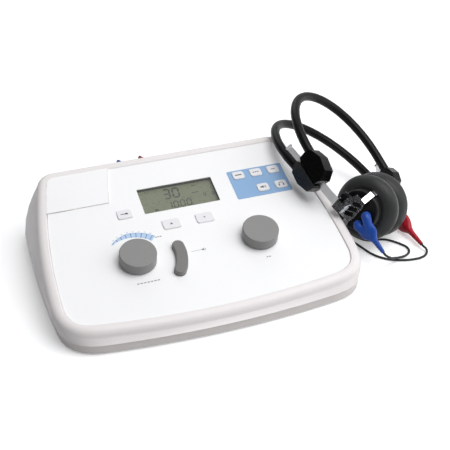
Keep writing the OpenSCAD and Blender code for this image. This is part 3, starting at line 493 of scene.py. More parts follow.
PAD_GREY = Moulded("ear_pad_rubber", "cushion_rubber", shade("333434"),
    drift=0.07, patch_mm=14, roughness=0.42, grain_mm=0.45, grain=0.22, sheen=0.05, shine=0.24)
BOOT_BLUE = Moulded("blue_boot_vinyl", "blue_moulding", shade("144AA6"),
    drift=0.08, patch_mm=6, roughness=0.42, grain_mm=0.4, grain=0.2, coat=0.05, sheen=0.1,
    shine=0.35)
BOOT_RED = Moulded("red_boot_vinyl", "red_moulding", shade("AE1024"),
    drift=0.08, patch_mm=6, roughness=0.42, grain_mm=0.4, grain=0.2, coat=0.05, sheen=0.1,
    shine=0.35)
LEAD_GREY = Moulded("lead_jacket", "cord_rubber", shade("2E3332"),
    drift=0.08, patch_mm=9, grain_mm=0.3, sheen=0.05, shine=0.25)
FOOT_BLACK = Moulded("foot_rubber_pad", "foot_rubber", shade("2C2C2D"),
    drift=0.08, patch_mm=9, roughness=0.7, grain_mm=0.4, grain=0.4, sheen=0.3)
INK_BLUE = ink("blue_print", "8CB1DA", 0.03, 20)
INK_PALE = ink("pale_blue_print", "B8D0EC", 0.03, 9)
INK_DEEP = ink("deep_blue_print", "5C86BE", 0.04, 6)
INK_SOFT = ink("soft_blue_print", "8FAFD8", 0.04, 6)
INK_GREY = ink("grey_print", "8F9092", 0.05, 4)
INK_BLACK = ink("black_print", "4A4848", 0.08, 3, "white_keys")
SEGMENT_DARK = Moulded("display_segments", "lcd_panel", shade("1E211C"),
    drift=0.06, patch_mm=3, roughness=0.4, grain_mm=0.3, grain=0.03)
# Painted shade: the dark liner on the walls of the display's recess.
PAINTED_RECESS_SHADE = Moulded("display_mask", "lcd_panel", shade("2B2C2A"),
    drift=0.06, patch_mm=6, roughness=0.5, grain_mm=0.3, grain=0.08)

Finish = Moulded | Plated | Clear | CircuitBoard


# ---- shapes ----


def curve_through(points: Sequence[Point], per: int) -> list[Vector]:
    """Lay a smooth line through points.

    Args:
        points: The points that the line passes.
        per: Steps between two of them.

    Returns:
        The line's points, ends included.
    """
    knots = [Vector(p) for p in points]
    line: list[Vector] = []
    for i in range(len(knots) - 1):
        before = knots[max(i - 1, 0)]
        here, there = knots[i], knots[i + 1]
        after = knots[min(i + 2, len(knots) - 1)]
        for k in range(per):
            t = k / per
            bend = 2 * before - 5 * here + 4 * there - after
            twist = 3 * here - before - 3 * there + after
            line.append(0.5 * (2 * here + (there - before) * t + bend * t**2 + twist * t**3))
    line.append(knots[-1])
    return line


def rounded(width: float, height: float, radius: float, steps: int = 8) -> Outline:
    """A rectangle with rounded corners about its own middle.

    Args:
        width: Its width.
        height: Its height.
        radius: Its corners' radius.
        steps: Edges in each corner.

    Returns:
        The outline, anticlockwise.
    """
    outline: Outline = []
    for turn, (sx, sy) in enumerate([(1, 1), (-1, 1), (-1, -1), (1, -1)]):
        for i in range(steps + 1):
            angle = math.radians(90 * turn + 90 * i / steps)
            across = sx * (width / 2 - radius) + radius * math.cos(angle)
            up = sy * (height / 2 - radius) + radius * math.sin(angle)
            outline.append((across, up))
    return outline


def moved(outline: Outline, across: float, up: float) -> Outline:
    """An outline shifted on its plane."""
    return [(x + across, y + up) for x, y in outline]


def sector(centre: Point, inner: Callable[[float], float], outer: Callable[[float], float],
           start: float, stop: float, steps: int) -> Outline:
    """A curved band between two radii that may change along it.

    Args:
        centre: The band's centre.
        inner: Its inner radius at a share of its length.
        outer: Its outer radius at a share of its length.
        start: Angle where it starts, in degrees.
        stop: Angle where it ends.
        steps: Edges along it.

    Returns:
        The outline.
    """
    shares = [i / steps for i in range(steps + 1)]

    def at(radius: float, share: float) -> tuple[float, float]:
        """One corner of the band."""
        angle = math.radians(start + (stop - start) * share)
        return (centre[0] + radius * math.cos(angle), centre[1] + radius * math.sin(angle))

    return [at(outer(s), s) for s in shares] + [at(inner(s), s) for s in reversed(shares)]


def arc(centre: Point, radius: float, thick: float, start: float, stop: float, steps: int) -> Outline:
    """A curved stroke of one thickness.

    Args:
        centre: Its centre.
        radius: Its inner radius.
        thick: Its thickness.
        start: Angle where it starts, in degrees.
        stop: Angle where it ends.
        steps: Edges along it.

    Returns:
        The outline.
    """
    return sector(centre, lambda share: radius, lambda share: radius + thick, start, stop, steps)


def bar(across: float, up: float, size: tuple[float, float, float], steps: int = 2) -> Outline:
    """A bar with rounded ends at a place; its size is width, height and corner radius."""
    return moved(rounded(*size, steps), across, up)


def slab(outline: Outline, low: float, high: float, holes: Sequence[Outline] = ()) -> Solid:
    """A flat plate with holes.

    Args:
        outline: Its edge.
        low: Height of its underside.
        high: Height of its top.
        holes: Edges of its holes.

    Returns:
        The closed plate.
    """
    loops = [outline, *holes]
    flat = [(x, y) for loop in loops for x, y in loop]
    count = len(flat)
    points = [Vector((x, y, low)) for x, y in flat] + [Vector((x, y, high)) for x, y in flat]
    faces: list[tuple[int, ...]] = []
    for a, b, c in tessellate_polygon([[Vector((x, y, 0)) for x, y in loop] for loop in loops]):
        faces.append((a, b, c))
        faces.append((a + count, c + count, b + count))
    base = 0
    for loop in loops:
        size = len(loop)
        for i in range(size):
            a, b = base + i, base + (i + 1) % size
            faces.append((a, b, b + count, a + count))
        base += size
    return Solid(points, faces)


def turned(profile: Sequence[tuple[float, float]], steps: int = 64) -> Solid:
    """Turn a profile of (radius, height) about Z; radius 0 closes an end.

    Args:
        profile: The profile, closed by its own last and first points.
        steps: Sides round the axis.

    Returns:
        The turned form.
    """
    points: list[Vector] = []
    rings: list[list[int]] = []
    for radius, height in profile:
        if radius <= 0:
            rings.append([len(points)])
            points.append(Vector((0, 0, height)))
            continue
        rings.append(list(range(len(points), len(points) + steps)))
        for i in range(steps):
            angle = math.tau * i / steps
            points.append(Vector((radius * math.cos(angle), radius * math.sin(angle), height)))
    faces: list[tuple[int, ...]] = []
    closed = profile[0][0] > 0 and profile[-1][0] > 0
    pairs = list(zip(rings, rings[1:])) + ([(rings[-1], rings[0])] if closed else [])
    for low, high in pairs:
        for i in range(steps):
            j = (i + 1) % steps
            if len(low) == 1 and len(high) == 1:
                continue
            if len(low) == 1:
                faces.append((low[0], high[j], high[i]))
            elif len(high) == 1:
                faces.append((low[i], low[j], high[0]))
            else:
                faces.append((low[i], low[j], high[j], high[i]))
    return Solid(points, faces)


def swept(line: Sequence[Vector], radii: Sequence[tuple[float, float]], sides: int = 20,
          wide: Vector | None = None) -> Solid:
    """A closed tube along a line, oval where its two radii differ.

    Args:
        line: Its middle line.
        radii: Half width and half thickness at each point of the line.
        sides: Sides round the tube.
        wide: The direction of its width; none carries a frame along the line.

    Returns:
        The closed tube.
    """
    points: list[Vector] = []
    count = len(line)
    across = wide.normalized() if wide else (line[1] - line[0]).orthogonal().normalized()
    for i, middle in enumerate(line):
        along = (line[min(i + 1, count - 1)] - line[max(i - 1, 0)]).normalized()
        across = (across - along * across.dot(along)).normalized()
        side = (wide - along * wide.dot(along)).normalized() if wide else across
        other = along.cross(side)
        half_wide, half_thick = radii[i]
        for k in range(sides):
            angle = math.tau * k / sides
            out = side * (half_wide * math.cos(angle))
            points.append(middle + out + other * (half_thick * math.sin(angle)))
    faces: list[tuple[int, ...]] = [tuple(reversed(range(sides)))]
    for i in range(count - 1):
        for k in range(sides):
            a, b = i * sides + k, i * sides + (k + 1) % sides
            faces.append((a, b, b + sides, a + sides))
    faces.append(tuple(range((count - 1) * sides, count * sides)))
    return Solid(points, faces)


def together(*solids: Solid) -> Solid:
    """Put several forms in one mesh."""
    points: list[Vector] = []
    faces: list[tuple[int, ...]] = []
    for solid in solids:
        base = len(points)
        points.extend(solid.points)
        faces.extend(tuple(i + base for i in face) for face in solid.faces)
    return Solid(points, faces)


# ---- making and dressing ----

# Corners this close are one, millimetres; faces this close to flat are one, degrees.
WELD = 0.002
FLAT = 0.05
BEVELLED_FLAT = 0.6


@dataclass
class Shop:
    """Makes pieces, dresses them and hangs them on the frame's bodies.

    Attributes:
        coats: Materials already built, by finish name.
    """

    coats: dict[str, bpy.types.Material] = field(default_factory=dict)

    def coat(self, finish: Finish) -> bpy.types.Material:
        """The material of a finish, built once."""
        if finish.name not in self.coats:
            self.coats[finish.name] = finish.material()
        return self.coats[finish.name]

    def hang(self, piece: Piece, finish: Finish, body: str) -> Piece:
        """Dress a piece in one finish and let it ride on a body.

        Args:
            piece: The piece, in place.
            finish: Its finish.
            body: The body that carries it.

        Returns:
            The piece.
        """
        if not len(piece.data.materials):
            piece.data.materials.append(self.coat(finish))
        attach(piece, body)
        LOG.info("%s: %s on %s", piece.name, finish.name, body)
        return piece

    def make(self, name: str, solid: Solid, at: Matrix, finish: Finish, body: str,
             angle: float = 35, bevel: float = 0.0, stands_for: Iterable[str] = ()) -> Piece:
        """Make a piece from a form.

        Args:
            name: The piece's name.
            solid: Its form.
            at: The axes that the form was drawn in.
            finish: Its finish.
            body: The body that carries it.
            angle: Edges sharper than this stay sharp, in degrees.
            bevel: Width of the bevel on them, in millimetres.
            stands_for: Nodes that it replaces.

        Returns:
            The piece.
        """
        mesh = bpy.data.meshes.new(name)
        mesh.from_pydata([(at @ p) * MM for p in solid.points], [], solid.faces)
        piece = bpy.data.objects.new(name, mesh)
        bpy.context.scene.collection.objects.link(piece)
        self.finish_mesh(piece, angle, bevel)
        for node in stands_for:
            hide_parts(node)
        return self.hang(piece, finish, body)

    def soften(self, node: str, finish: Finish, angle: float = 35, bevel: float = 0.0,
               second: Finish | None = None, where: Callable[[Vector], bool] | None = None) -> Piece:
        """Show a frame node with joined facets, smooth shading and broken edges.

        Args:
            node: The node.
            finish: Its finish.
            angle: Edges sharper than this stay sharp, in degrees.
            bevel: Width of the bevel on them, in millimetres.
            second: A second finish on part of it.
            where: Whether a place, in millimetres, has the second finish.

        Returns:
            The piece that stands for the node.
        """
        source = frame["nodes"][node]
        piece = bpy.data.objects.new(node + "_shown", source.data.copy())
        bpy.context.scene.collection.objects.link(piece)
        piece.data.materials.clear()
        piece.data.materials.append(self.coat(finish))
        self.finish_mesh(piece, angle, bevel)
        if second and where:
            piece.data.materials.append(self.coat(second))
            for face in piece.data.polygons:
                face.material_index = 1 if where(face.center / MM) else 0
        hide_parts(node)
        return self.hang(piece, finish, source["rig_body"])

    def paint(self, node: str, finish: Finish) -> None:
        """Give a node that stays as it is its finish."""
        source = frame["nodes"][node]
        source.data.materials.clear()
        source.data.materials.append(self.coat(finish))
        LOG.info("%s: %s, as the frame has it", node, finish.name)

    def finish_mesh(self, piece: Piece, angle: float, bevel: float) -> None:
        """Join a mesh's corners, turn its faces outwards, break its edges and shade it smooth.

        Args:
            piece: The piece.
            angle: Edges sharper than this stay sharp, in degrees.
            bevel: Width of the bevel on them, in millimetres.
        """
        mesh = piece.data
        work = bmesh.new()
        work.from_mesh(mesh)
        bmesh.ops.remove_doubles(work, verts=work.verts, dist=WELD * MM)
        flat = math.radians(BEVELLED_FLAT if bevel else FLAT)
        bmesh.ops.dissolve_limit(work, angle_limit=flat, verts=work.verts, edges=work.edges)
        bmesh.ops.recalc_face_normals(work, faces=work.faces)
        if bevel:
            sharp = [e for e in work.edges if len(e.link_faces) == 2
                     and e.calc_face_angle(0.0) > math.radians(angle)]
            bmesh.ops.bevel(work, geom=sharp, offset=bevel * MM, segments=2, profile=0.6,
                            affect="EDGES", clamp_overlap=True)
        work.to_mesh(mesh)
        work.free()
        mesh.shade_smooth()
        mesh.set_sharp_from_angle(angle=math.radians(angle))
        level = piece.modifiers.new("level", "WEIGHTED_NORMAL")
        level.mode = "FACE_AREA"
        level.keep_sharp = True

    def swap_mesh(self, piece: Piece) -> None:
        """Bake a piece's modifiers into its mesh."""
        graph = bpy.context.evaluated_depsgraph_get()
        graph.update()
        baked = bpy.data.meshes.new_from_object(piece.evaluated_get(graph))
        piece.modifiers.clear()
        piece.data = baked


# ---- the studio ----


@dataclass
class Studio:
    """Camera, lamps, floor and world.

    Attributes:
        eye: The camera's place, millimetres.
        ahead: Its viewing direction.
        right: The picture's right.
        above: The picture's up.
        lens: Focal length on a 36 mm sensor.
        floor_half: Half the floor's width, metres.
        left_light: Strength of the surroundings' light on the left.
        right_light: Its strength on the right.
        middle: What the lamps look at, metres.
    """

    eye: Point = (-215.66, -656.52, 581.91)
    ahead: Point = (0.26509, 0.77566, -0.57279)
    right: Point = (0.94626, -0.32339, 0.0)
    above: Point = (0.18524, 0.54201, 0.81971)
    lens: float = 75.68
    floor_half: float = 6.0
    left_light: float = 0.04
    right_light: float = 0.6
    middle: Point = (0.05, 0.07, 0.03)

    def build(self) -> None:
        """Set up the whole studio."""
        self.camera()
        self.floor()
        self.world()
        self.lamps()
        bpy.context.scene.view_settings.view_transform = "Standard"

    def camera(self) -> None:
        """Put the camera where the picture was taken from."""
        data = bpy.data.cameras.new("studio_camera")
        data.sensor_width = 36
        data.lens = self.lens
        data.clip_start = 0.01
        data.clip_end = 50
        camera = bpy.data.objects.new("studio_camera", data)
        turn = Matrix((self.right, self.above, [-a for a in self.ahead])).transposed().to_4x4()
        camera.matrix_world = Matrix.Translation(Vector(self.eye) * MM) @ turn
        bpy.context.scene.collection.objects.link(camera)
        bpy.context.scene.camera = camera

    def floor(self) -> None:
        """A pale sheet that keeps the shadow and shows white to the camera."""
        half = self.floor_half
        mesh = bpy.data.meshes.new("studio_floor")
        corners = [(-half, -half, 0), (half, -half, 0), (half, half, 0), (-half, half, 0)]
        mesh.from_pydata(corners, [], [(0, 1, 2, 3)])
        sheet = bpy.data.objects.new("studio_floor", mesh)
        bpy.context.scene.collection.objects.link(sheet)
        material = bpy.data.materials.new("floor_sheet")
        material.use_nodes = True
        tree = material.node_tree
        tree.nodes.clear()
        link = tree.links.new
        rays, seen, also, paper, dim, glow, both, pick, out = (
            tree.nodes.new("ShaderNode" + kind) for kind in
            ("LightPath", "Math", "Math", "BsdfDiffuse", "BsdfDiffuse", "Emission", "AddShader", "MixShader",
             "OutputMaterial"))
        seen.operation = "MAXIMUM"
        also.operation = "MAXIMUM"
        paper.inputs["Color"].default_value = (0.86, 0.86, 0.87, 1)
        dim.inputs["Color"].default_value = (0.6, 0.6, 0.6, 1)
        glow.inputs["Strength"].default_value = 0.34
        link(rays.outputs["Is Camera Ray"], seen.inputs[0])
        link(rays.outputs["Is Glossy Ray"], seen.inputs[1])
        link(seen.outputs[0], also.inputs[0])
        link(rays.outputs["Is Transmission Ray"], also.inputs[1])
        link(paper.outputs[0], both.inputs[0])
        link(glow.outputs[0], both.inputs[1])
        link(also.outputs[0], pick.inputs["Fac"])
        link(dim.outputs[0], pick.inputs[1])
        link(both.outputs[0], pick.inputs[2])
        link(pick.outputs[0], out.inputs["Surface"])
        mesh.materials.append(material)

    def world(self) -> None:
        """White where the camera sees it, soft light from the right for everything else."""
        world = bpy.data.worlds.new("studio_world")
        bpy.context.scene.world = world
        world.use_nodes = True
        tree = world.node_tree
        back = tree.nodes["Background"]
        back.inputs["Color"].default_value = (0.97, 0.985, 1.0, 1)
        rays = tree.nodes.new("ShaderNodeLightPath")
        where = tree.nodes.new("ShaderNodeTexCoord")
        axes = tree.nodes.new("ShaderNodeSeparateXYZ")
        tree.links.new(where.outputs["Generated"], axes.inputs["Vector"])
        side = tree.nodes.new("ShaderNodeMapRange")
        side.inputs["From Min"].default_value = -0.7
        side.inputs["From Max"].default_value = 0.7
        side.inputs["To Min"].default_value = self.left_light
        side.inputs["To Max"].default_value = self.right_light
        tree.links.new(axes.outputs["X"], side.inputs["Value"])
        level = tree.nodes.new("ShaderNodeMapRange")
        level.inputs["To Max"].default_value = 1.0
        tree.links.new(side.outputs["Result"], level.inputs["To Min"])
        tree.links.new(rays.outputs["Is Camera Ray"], level.inputs["Value"])
        tree.links.new(level.outputs["Result"], back.inputs["Strength"])

    def lamps(self) -> None:
        """Three broad soft boxes: one overhead and to the right, a lower one at the right, one behind."""
        self.lamp("top_box", (0.5, -0.25, 1.6), 1.3, 20.0, (1.0, 1.0, 1.0))
        self.lamp("right_box", (1.4, -0.5, 0.8), 1.0, 5.0, (1.0, 1.0, 1.0))
        self.lamp("back_box", (0.2, 1.5, 1.1), 1.1, 4.0, (1.0, 1.0, 1.0))

    def lamp(self, name: str, place: Point, size: float, power: float, colour: Colour) -> None:
        """Hang one soft box that looks at the object's middle.

        Args:
            name: The lamp's name.
            place: Where it hangs, metres.
            size: Its edge, metres.
            power: Its power, watts.
            colour: Its colour.
        """
        data = bpy.data.lights.new(name, "AREA")
        data.shape = "SQUARE"
        data.size = size
        data.energy = power
        data.color = colour
        lamp = bpy.data.objects.new(name, data)
        aim = Vector(self.middle) - Vector(place)
        lamp.rotation_euler = aim.to_track_quat("-Z", "Y").to_euler()
        lamp.location = place
        bpy.context.scene.collection.objects.link(lamp)


# ---- leads ----


@dataclass
class Coil:
    """A wound store of lead: four layers of loops that spiral in and out by turns.

    Attributes:
        at: Its middle, console axes.
        turns: Loops in it.
        pitch: Distance between neighbouring turns.
        per_layer: Turns laid in each layer before the climb.
        outer: Radius of its widest turn.
        inner: Radius of its tightest turn.
        low: Height of its lowest turn.
        reach: Straight run at each end.
        per_turn: Points on each loop.
    """

    at: tuple[float, float]
    turns: int = 12
    pitch: float = 3.2
    per_layer: float = 2.5
    outer: float = 18.5
    inner: float = 10.5
    low: float = 2.4
    reach: float = 2.4
    per_turn: int = 12

    def place(self, turn: float) -> tuple[float, float]:
        """Radius and height after a number of turns."""
        layer = min(int(turn // (self.per_layer + 0.5)), 3)
        along = turn - layer * (self.per_layer + 0.5)
        laid = min(along, self.per_layer) if layer < 3 else along
        climb = max(along - self.per_layer, 0) * 2 if layer < 3 else 0
        radius = self.outer - self.pitch * laid if layer % 2 == 0 else self.inner + self.pitch * laid
        return radius, self.low + self.pitch * (layer + climb)

    def start(self) -> list[float]:
        """Where the lead comes in."""
        return [self.at[0] + self.reach, self.at[1] - self.outer, self.low]

    def end(self) -> list[float]:
        """Where the lead goes out."""
        radius, height = self.place(self.turns)
        return [self.at[0] - self.reach, self.at[1] - radius, height]

    def points(self) -> list[list[float]]:
        """Points of the loops, without the two ends."""
        loops = []
        for i in range(self.turns * self.per_turn + 1):
            turn = i / self.per_turn
            radius, height = self.place(turn)
            angle = math.radians(-90 - 360 * turn)
            across, back = radius * math.cos(angle), radius * math.sin(angle)
            loops.append([self.at[0] + across, self.at[1] + back, height])
        return loops


@dataclass
class EarphoneLead:
    """One earphone's lead, from its boot round the console to its plug.

    Attributes:
        name: The piece's name.
        side: The earphone that it leaves.
        hue: The word that its nodes start with.
        boot_end: The last two points of the boot's middle line, cup axes.
        free: Points on the way to the coil, console axes.
        coil: Its coil.
        last: Points from the coil to the plug, console axes.
        run_in: Straight stretch before the coil.
        plug_x: Where its plug is, across the rear.
        length: Its whole length, metres; not used.
        diameter: Its thickness.
        gap: Air between it and the boot or the plug.
        plug_end: Depth of the plug's end, console axes.
        plug_z: Height of the plug.
    """

    name: str
    side: Side
    hue: str
    boot_end: Sequence[Point]
    free: list[Point]
    coil: Coil
    last: list[Point]
    run_in: float
    plug_x: float
    length: float
    diameter: float = 2.4
    gap: float = 0.03
    plug_end: float = 176.0
    plug_z: float = JACK_Z

    def route(self) -> list[Vector]:
        """The lead's points from boot to plug, in the frame's millimetres."""
        cup = cup_frame(self.side)
        neck, tip = (cup @ Vector(p) for p in self.boot_end)
        way = (tip - neck).normalized()
        base = console_frame()
        start, end = Vector(self.coil.start()), Vector(self.coil.end())
        run = [start + Vector((self.run_in, 0, 0))] + [Vector(p) for p in self.coil.points()]
        out = [end - Vector((5, 0, 0))] + [Vector(p) for p in self.last]
        out += [Vector((self.plug_x, self.plug_end + self.diameter, self.plug_z)),
                Vector((self.plug_x, self.plug_end + self.gap, self.plug_z))]
        here = [tip + way * self.gap, tip + way * (self.gap + self.diameter)]
        return here + [base @ Vector(p) for p in [*self.free, *run, *out]]

    def build(self, shop: Shop, grip: Piece) -> Piece:
        """Args:
            shop: The shop that dresses it.
            grip: The plug's grip at its far end; not used.

        Returns:
            The lead.
        """
        data = bpy.data.curves.new(self.name, "CURVE")
        data.dimensions = "3D"
        data.bevel_depth = self.diameter / 2 * MM
        data.bevel_resolution = 4
        data.resolution_u = 6
        data.use_fill_caps = True
        spline = data.splines.new("BEZIER")
        points = self.route()
        spline.bezier_points.add(len(points) - 1)
        for knot, point in zip(spline.bezier_points, points):
            knot.co = point * MM
            knot.handle_left_type = "AUTO"
            knot.handle_right_type = "AUTO"
        lead = bpy.data.objects.new(self.name, data)
        bpy.context.scene.collection.objects.link(lead)
        data.materials.append(shop.coat(LEAD_GREY))
        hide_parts(f"{self.hue}_lead", f"{self.hue}_coil", f"{self.hue}_tail")
        shop.hang(lead, LEAD_GREY, "console")
        return lead


@dataclass
class CoilTies:
    """The straps that hold the two coils together.

    Attributes:
        coils: The coils.
        width: Width of each strap.
        thick: Thickness of each strap.
        gap: Air between the strap and the turns.
        lead_r: Half the lead's thickness.
        stack: Height of the stack of turns, middle to middle.
    """

    coils: list[Coil]
    width: float = 4.0
    thick: float = 0.7
    gap: float = 0.5
    lead_r: float = 1.2
    stack: float = 9.6

    def strap(self, coil: Coil) -> Solid:
        """One strap, with its lock and its cut end, in the frame's millimetres."""
        near = coil.inner - self.lead_r - self.gap
        far = coil.place(coil.turns)[0] + self.lead_r + self.gap
        tall = self.stack + 2 * self.lead_r + 0.5
        middle = coil.at[0] - (near + far) / 2
        height = coil.low + self.stack / 2
        inner = rounded(far - near, tall, 1.1, 6)
        outer = rounded(far - near + 2 * self.thick, tall + 2 * self.thick, 1.8, 6)
        loop = slab(outer, -self.width / 2, self.width / 2, [inner])
        lock = slab(rounded(4.6, 2.4, 0.6, 4), -self.width / 2 - 0.5, self.width / 2 + 0.5)
        tail = slab(rounded(1.0, 3.2, 0.4, 3), -self.width / 2 + 0.4, self.width / 2 - 0.4)
        top = tall / 2 + self.thick
        raised = [Vector((p.x + 1, p.y + top + 0.9, p.z)) for p in lock.points]
        ended = [Vector((p.x + 1.2, p.y + top + 2.4, p.z)) for p in tail.points]
        whole = together(loop, Solid(raised, lock.faces), Solid(ended, tail.faces))
        place = Matrix.Translation((middle, KNOB_LINE + coil.at[1], height))
        stand = place @ Matrix.Rotation(math.radians(90), 4, "X")
        return Solid([stand @ p for p in whole.points], whole.faces)

    def build(self, shop: Shop) -> Piece:
        """Make both straps as one piece."""
        solid = together(*[self.strap(coil) for coil in self.coils])
        return shop.make("lead_straps", solid, Matrix.Identity(4), BLACK_PLASTIC, "console",
                         stands_for=["coil_ties"])


@dataclass
class JackPlug:
    """A moulded jack plug with a ribbed grip, a flexible tail and a metal pin.

    Attributes:
        hue: The word that its node starts with.
        across: Where it is in the rear wall.
        finish: Its moulding.
        body_r: Radius of the grip.
        body_l: Length of the grip.
        tail_l: Length of the tail.
        pin_r: Radius of the pin.
        pin_l: Length of the pin.
        face: Depth of the jack's face, console axes.
        ribs: Ribs round the grip.
        rings: Rings along the tail.
    """

    hue: str
    across: float
    finish: Moulded
    body_r: float = 5.6
    body_l: float = 33.0
    tail_l: float = 8.3
    pin_r: float = 3.15
    pin_l: float = 27.0
    face: float = 134.7
    ribs: int = 7
    rings: int = 4

    def grip(self) -> Solid:
        """The moulded grip and tail, turned about its axis."""
        r, length = self.body_r, self.body_l
        profile = [(0.0, 0.0), (r - 0.7, 0.0), (r - 0.1, 0.5), (r, 1.4), (r, 5.0)]
        for i in range(self.ribs):
            base = 6.0 + i * 2.6
            profile += [(r, base), (r - 0.55, base + 0.5), (r - 0.55, base + 1.1), (r, base + 1.6)]
        profile += [(r, 26.5), (r - 0.3, 29.5), (r - 0.9, length)]
        for i in range(self.rings):
            share = i / self.rings
            wide = (r - 1.3) * (1 - share) + 2.3 * share
            low = length + 0.3 + (self.tail_l - 0.3) * share
            profile += [(wide, low), (wide - 0.1, low + 1.1)]
            profile += [(wide - 0.7, low + 1.3), (wide - 0.8, low + 1.7)]
        profile += [(2.0, length + self.tail_l), (0.0, length + self.tail_l)]
        return turned(profile, 48)

    def pin(self) -> Solid:
        """The pin with its tip and its two insulating grooves."""
        r, tip = self.pin_r, -self.pin_l
        profile = [(0.0, tip), (1.1, tip), (2.0, tip + 1.0)]
        profile += [(r - 0.1, tip + 3.2), (2.1, tip + 5.2), (r, tip + 6.2)]
        for low in (-17.0, -9.0):
            profile += [(r, low), (r - 0.12, low + 0.1), (r - 0.12, low + 1.3), (r, low + 1.4)]
        profile += [(r, 0.6), (0.0, 0.6)]
        return turned(profile, 40)

    def build(self, shop: Shop) -> Piece:
        """Make the grip and the pin.

        Args:
            shop: The shop that dresses them.

        Returns:
            The grip, which the lead ends in.
        """
        at = rear_frame(self.across, self.face, JACK_Z)
        body = f"{self.hue}_jack_plug"
        node = [f"{self.hue}_plug"]
        grip = shop.make(f"{self.hue}_plug_grip", self.grip(), at, self.finish, body, 50, stands_for=node)
        shop.make(f"{self.hue}_plug_pin", self.pin(), at, CHROME, body, 50, stands_for=node)
        return grip


# ---- the console ----


@dataclass
class ConsoleCase:
    """The two shells, the feet, the screws and what is inside.

    Attributes:
        inside: Finishes of the pieces that the case hides.
        pad_right: A line right of the raised pad at the rear left, deck axes.
        pad_front: A line in front of it.
        pad_top: Height of its top.
    """

    inside: dict[str, Finish] = field(
        default_factory=lambda: {"main_board": BOARD_GREEN, "key_switches": BLACK_PLASTIC}
        | dict.fromkeys(("encoders", "left_shaft", "right_shaft", "case_screws"), TURNED_STEEL)
    )
    pad_right: float = -70.0
    pad_front: float = 81.0
    pad_top: float = 1.2

    def is_pad(self, place: Vector) -> bool:
        """Whether a place, in the frame's millimetres, is on the raised pad's top face, which is painted
        white as painted light.
        """
        local = deck_frame().inverted() @ place
        on_top = abs(local.z - self.pad_top) < 0.01
        return on_top and local.x < self.pad_right and local.y > self.pad_front

    def build(self, shop: Shop) -> None:
        """Dress the case."""
        # Painted light: the top face of the cream pad takes the overlay's white.
        shop.soften("top_shell", WARM_WHITE, 40, second=OVERLAY_WHITE, where=self.is_pad)
        shop.soften("base_shell", TRAY_GREY, 40)
        shop.soften("foot_strips", FOOT_BLACK, 40, 0.3)
        for node, finish in self.inside.items():
            shop.paint(node, finish)


@dataclass
class RearPanel:
    """The recessed plate with the jacks, the power inlet and the rocker.

    Attributes:
        jacks: Places of the jacks across the wall.
        ring_finishes: Colour of the ring round each jack's mouth.
        rocker_x: Place of the rocker across the wall.
        mark_lift: How far its two marks are above and below its middle.
    """

    jacks: tuple[float, float, float] = (BLUE_JACK, RED_JACK, SPARE_JACK)
    ring_finishes: tuple[Moulded, Moulded, Moulded] = (BOOT_BLUE, BOOT_RED, REAR_GREY)
    rocker_x: float = 38.0
    mark_lift: float = 13.2

    def build(self, shop: Shop) -> None:
        """Dress the rear of the case."""
        shop.soften("rear_plate", REAR_GREY, 35, 0.2)
        shop.soften("phone_jacks", BLACK_PLASTIC, 35)
        shop.soften("power_inlet", BLACK_PLASTIC, 35)
        shop.soften("power_rocker", BLACK_PLASTIC, 30, 0.3)
        bore, rim = 5.45, 7.2
        section = [(bore, 0.05), (rim, 0.05), (rim, 0.25), (rim - 0.3, 0.4), (bore + 0.25, 0.4), (bore, 0.25)]
        for x, finish in zip(self.jacks, self.ring_finishes):
            ring = turned(section, 56)
            at = rear_frame(x, PLATE_FACE, JACK_Z)
            shop.make(f"jack_ring_{int(x) + 50}", ring, at, finish, "console")
        on_mark = slab(rounded(0.8, 3.4, 0.3, 3), 0.02, 0.08)
        off_mark = slab(rounded(3.0, 3.0, 1.49), 0.02, 0.08, [rounded(1.8, 1.8, 0.89)])
        for name, mark, side in [("rocker_on_mark", on_mark, 1), ("rocker_off_mark", off_mark, -1)]:
            at = rear_frame(self.rocker_x, PLATE_FACE, JACK_Z + side * self.mark_lift)
            shop.make(name, mark, at, INK_PALE, "console")


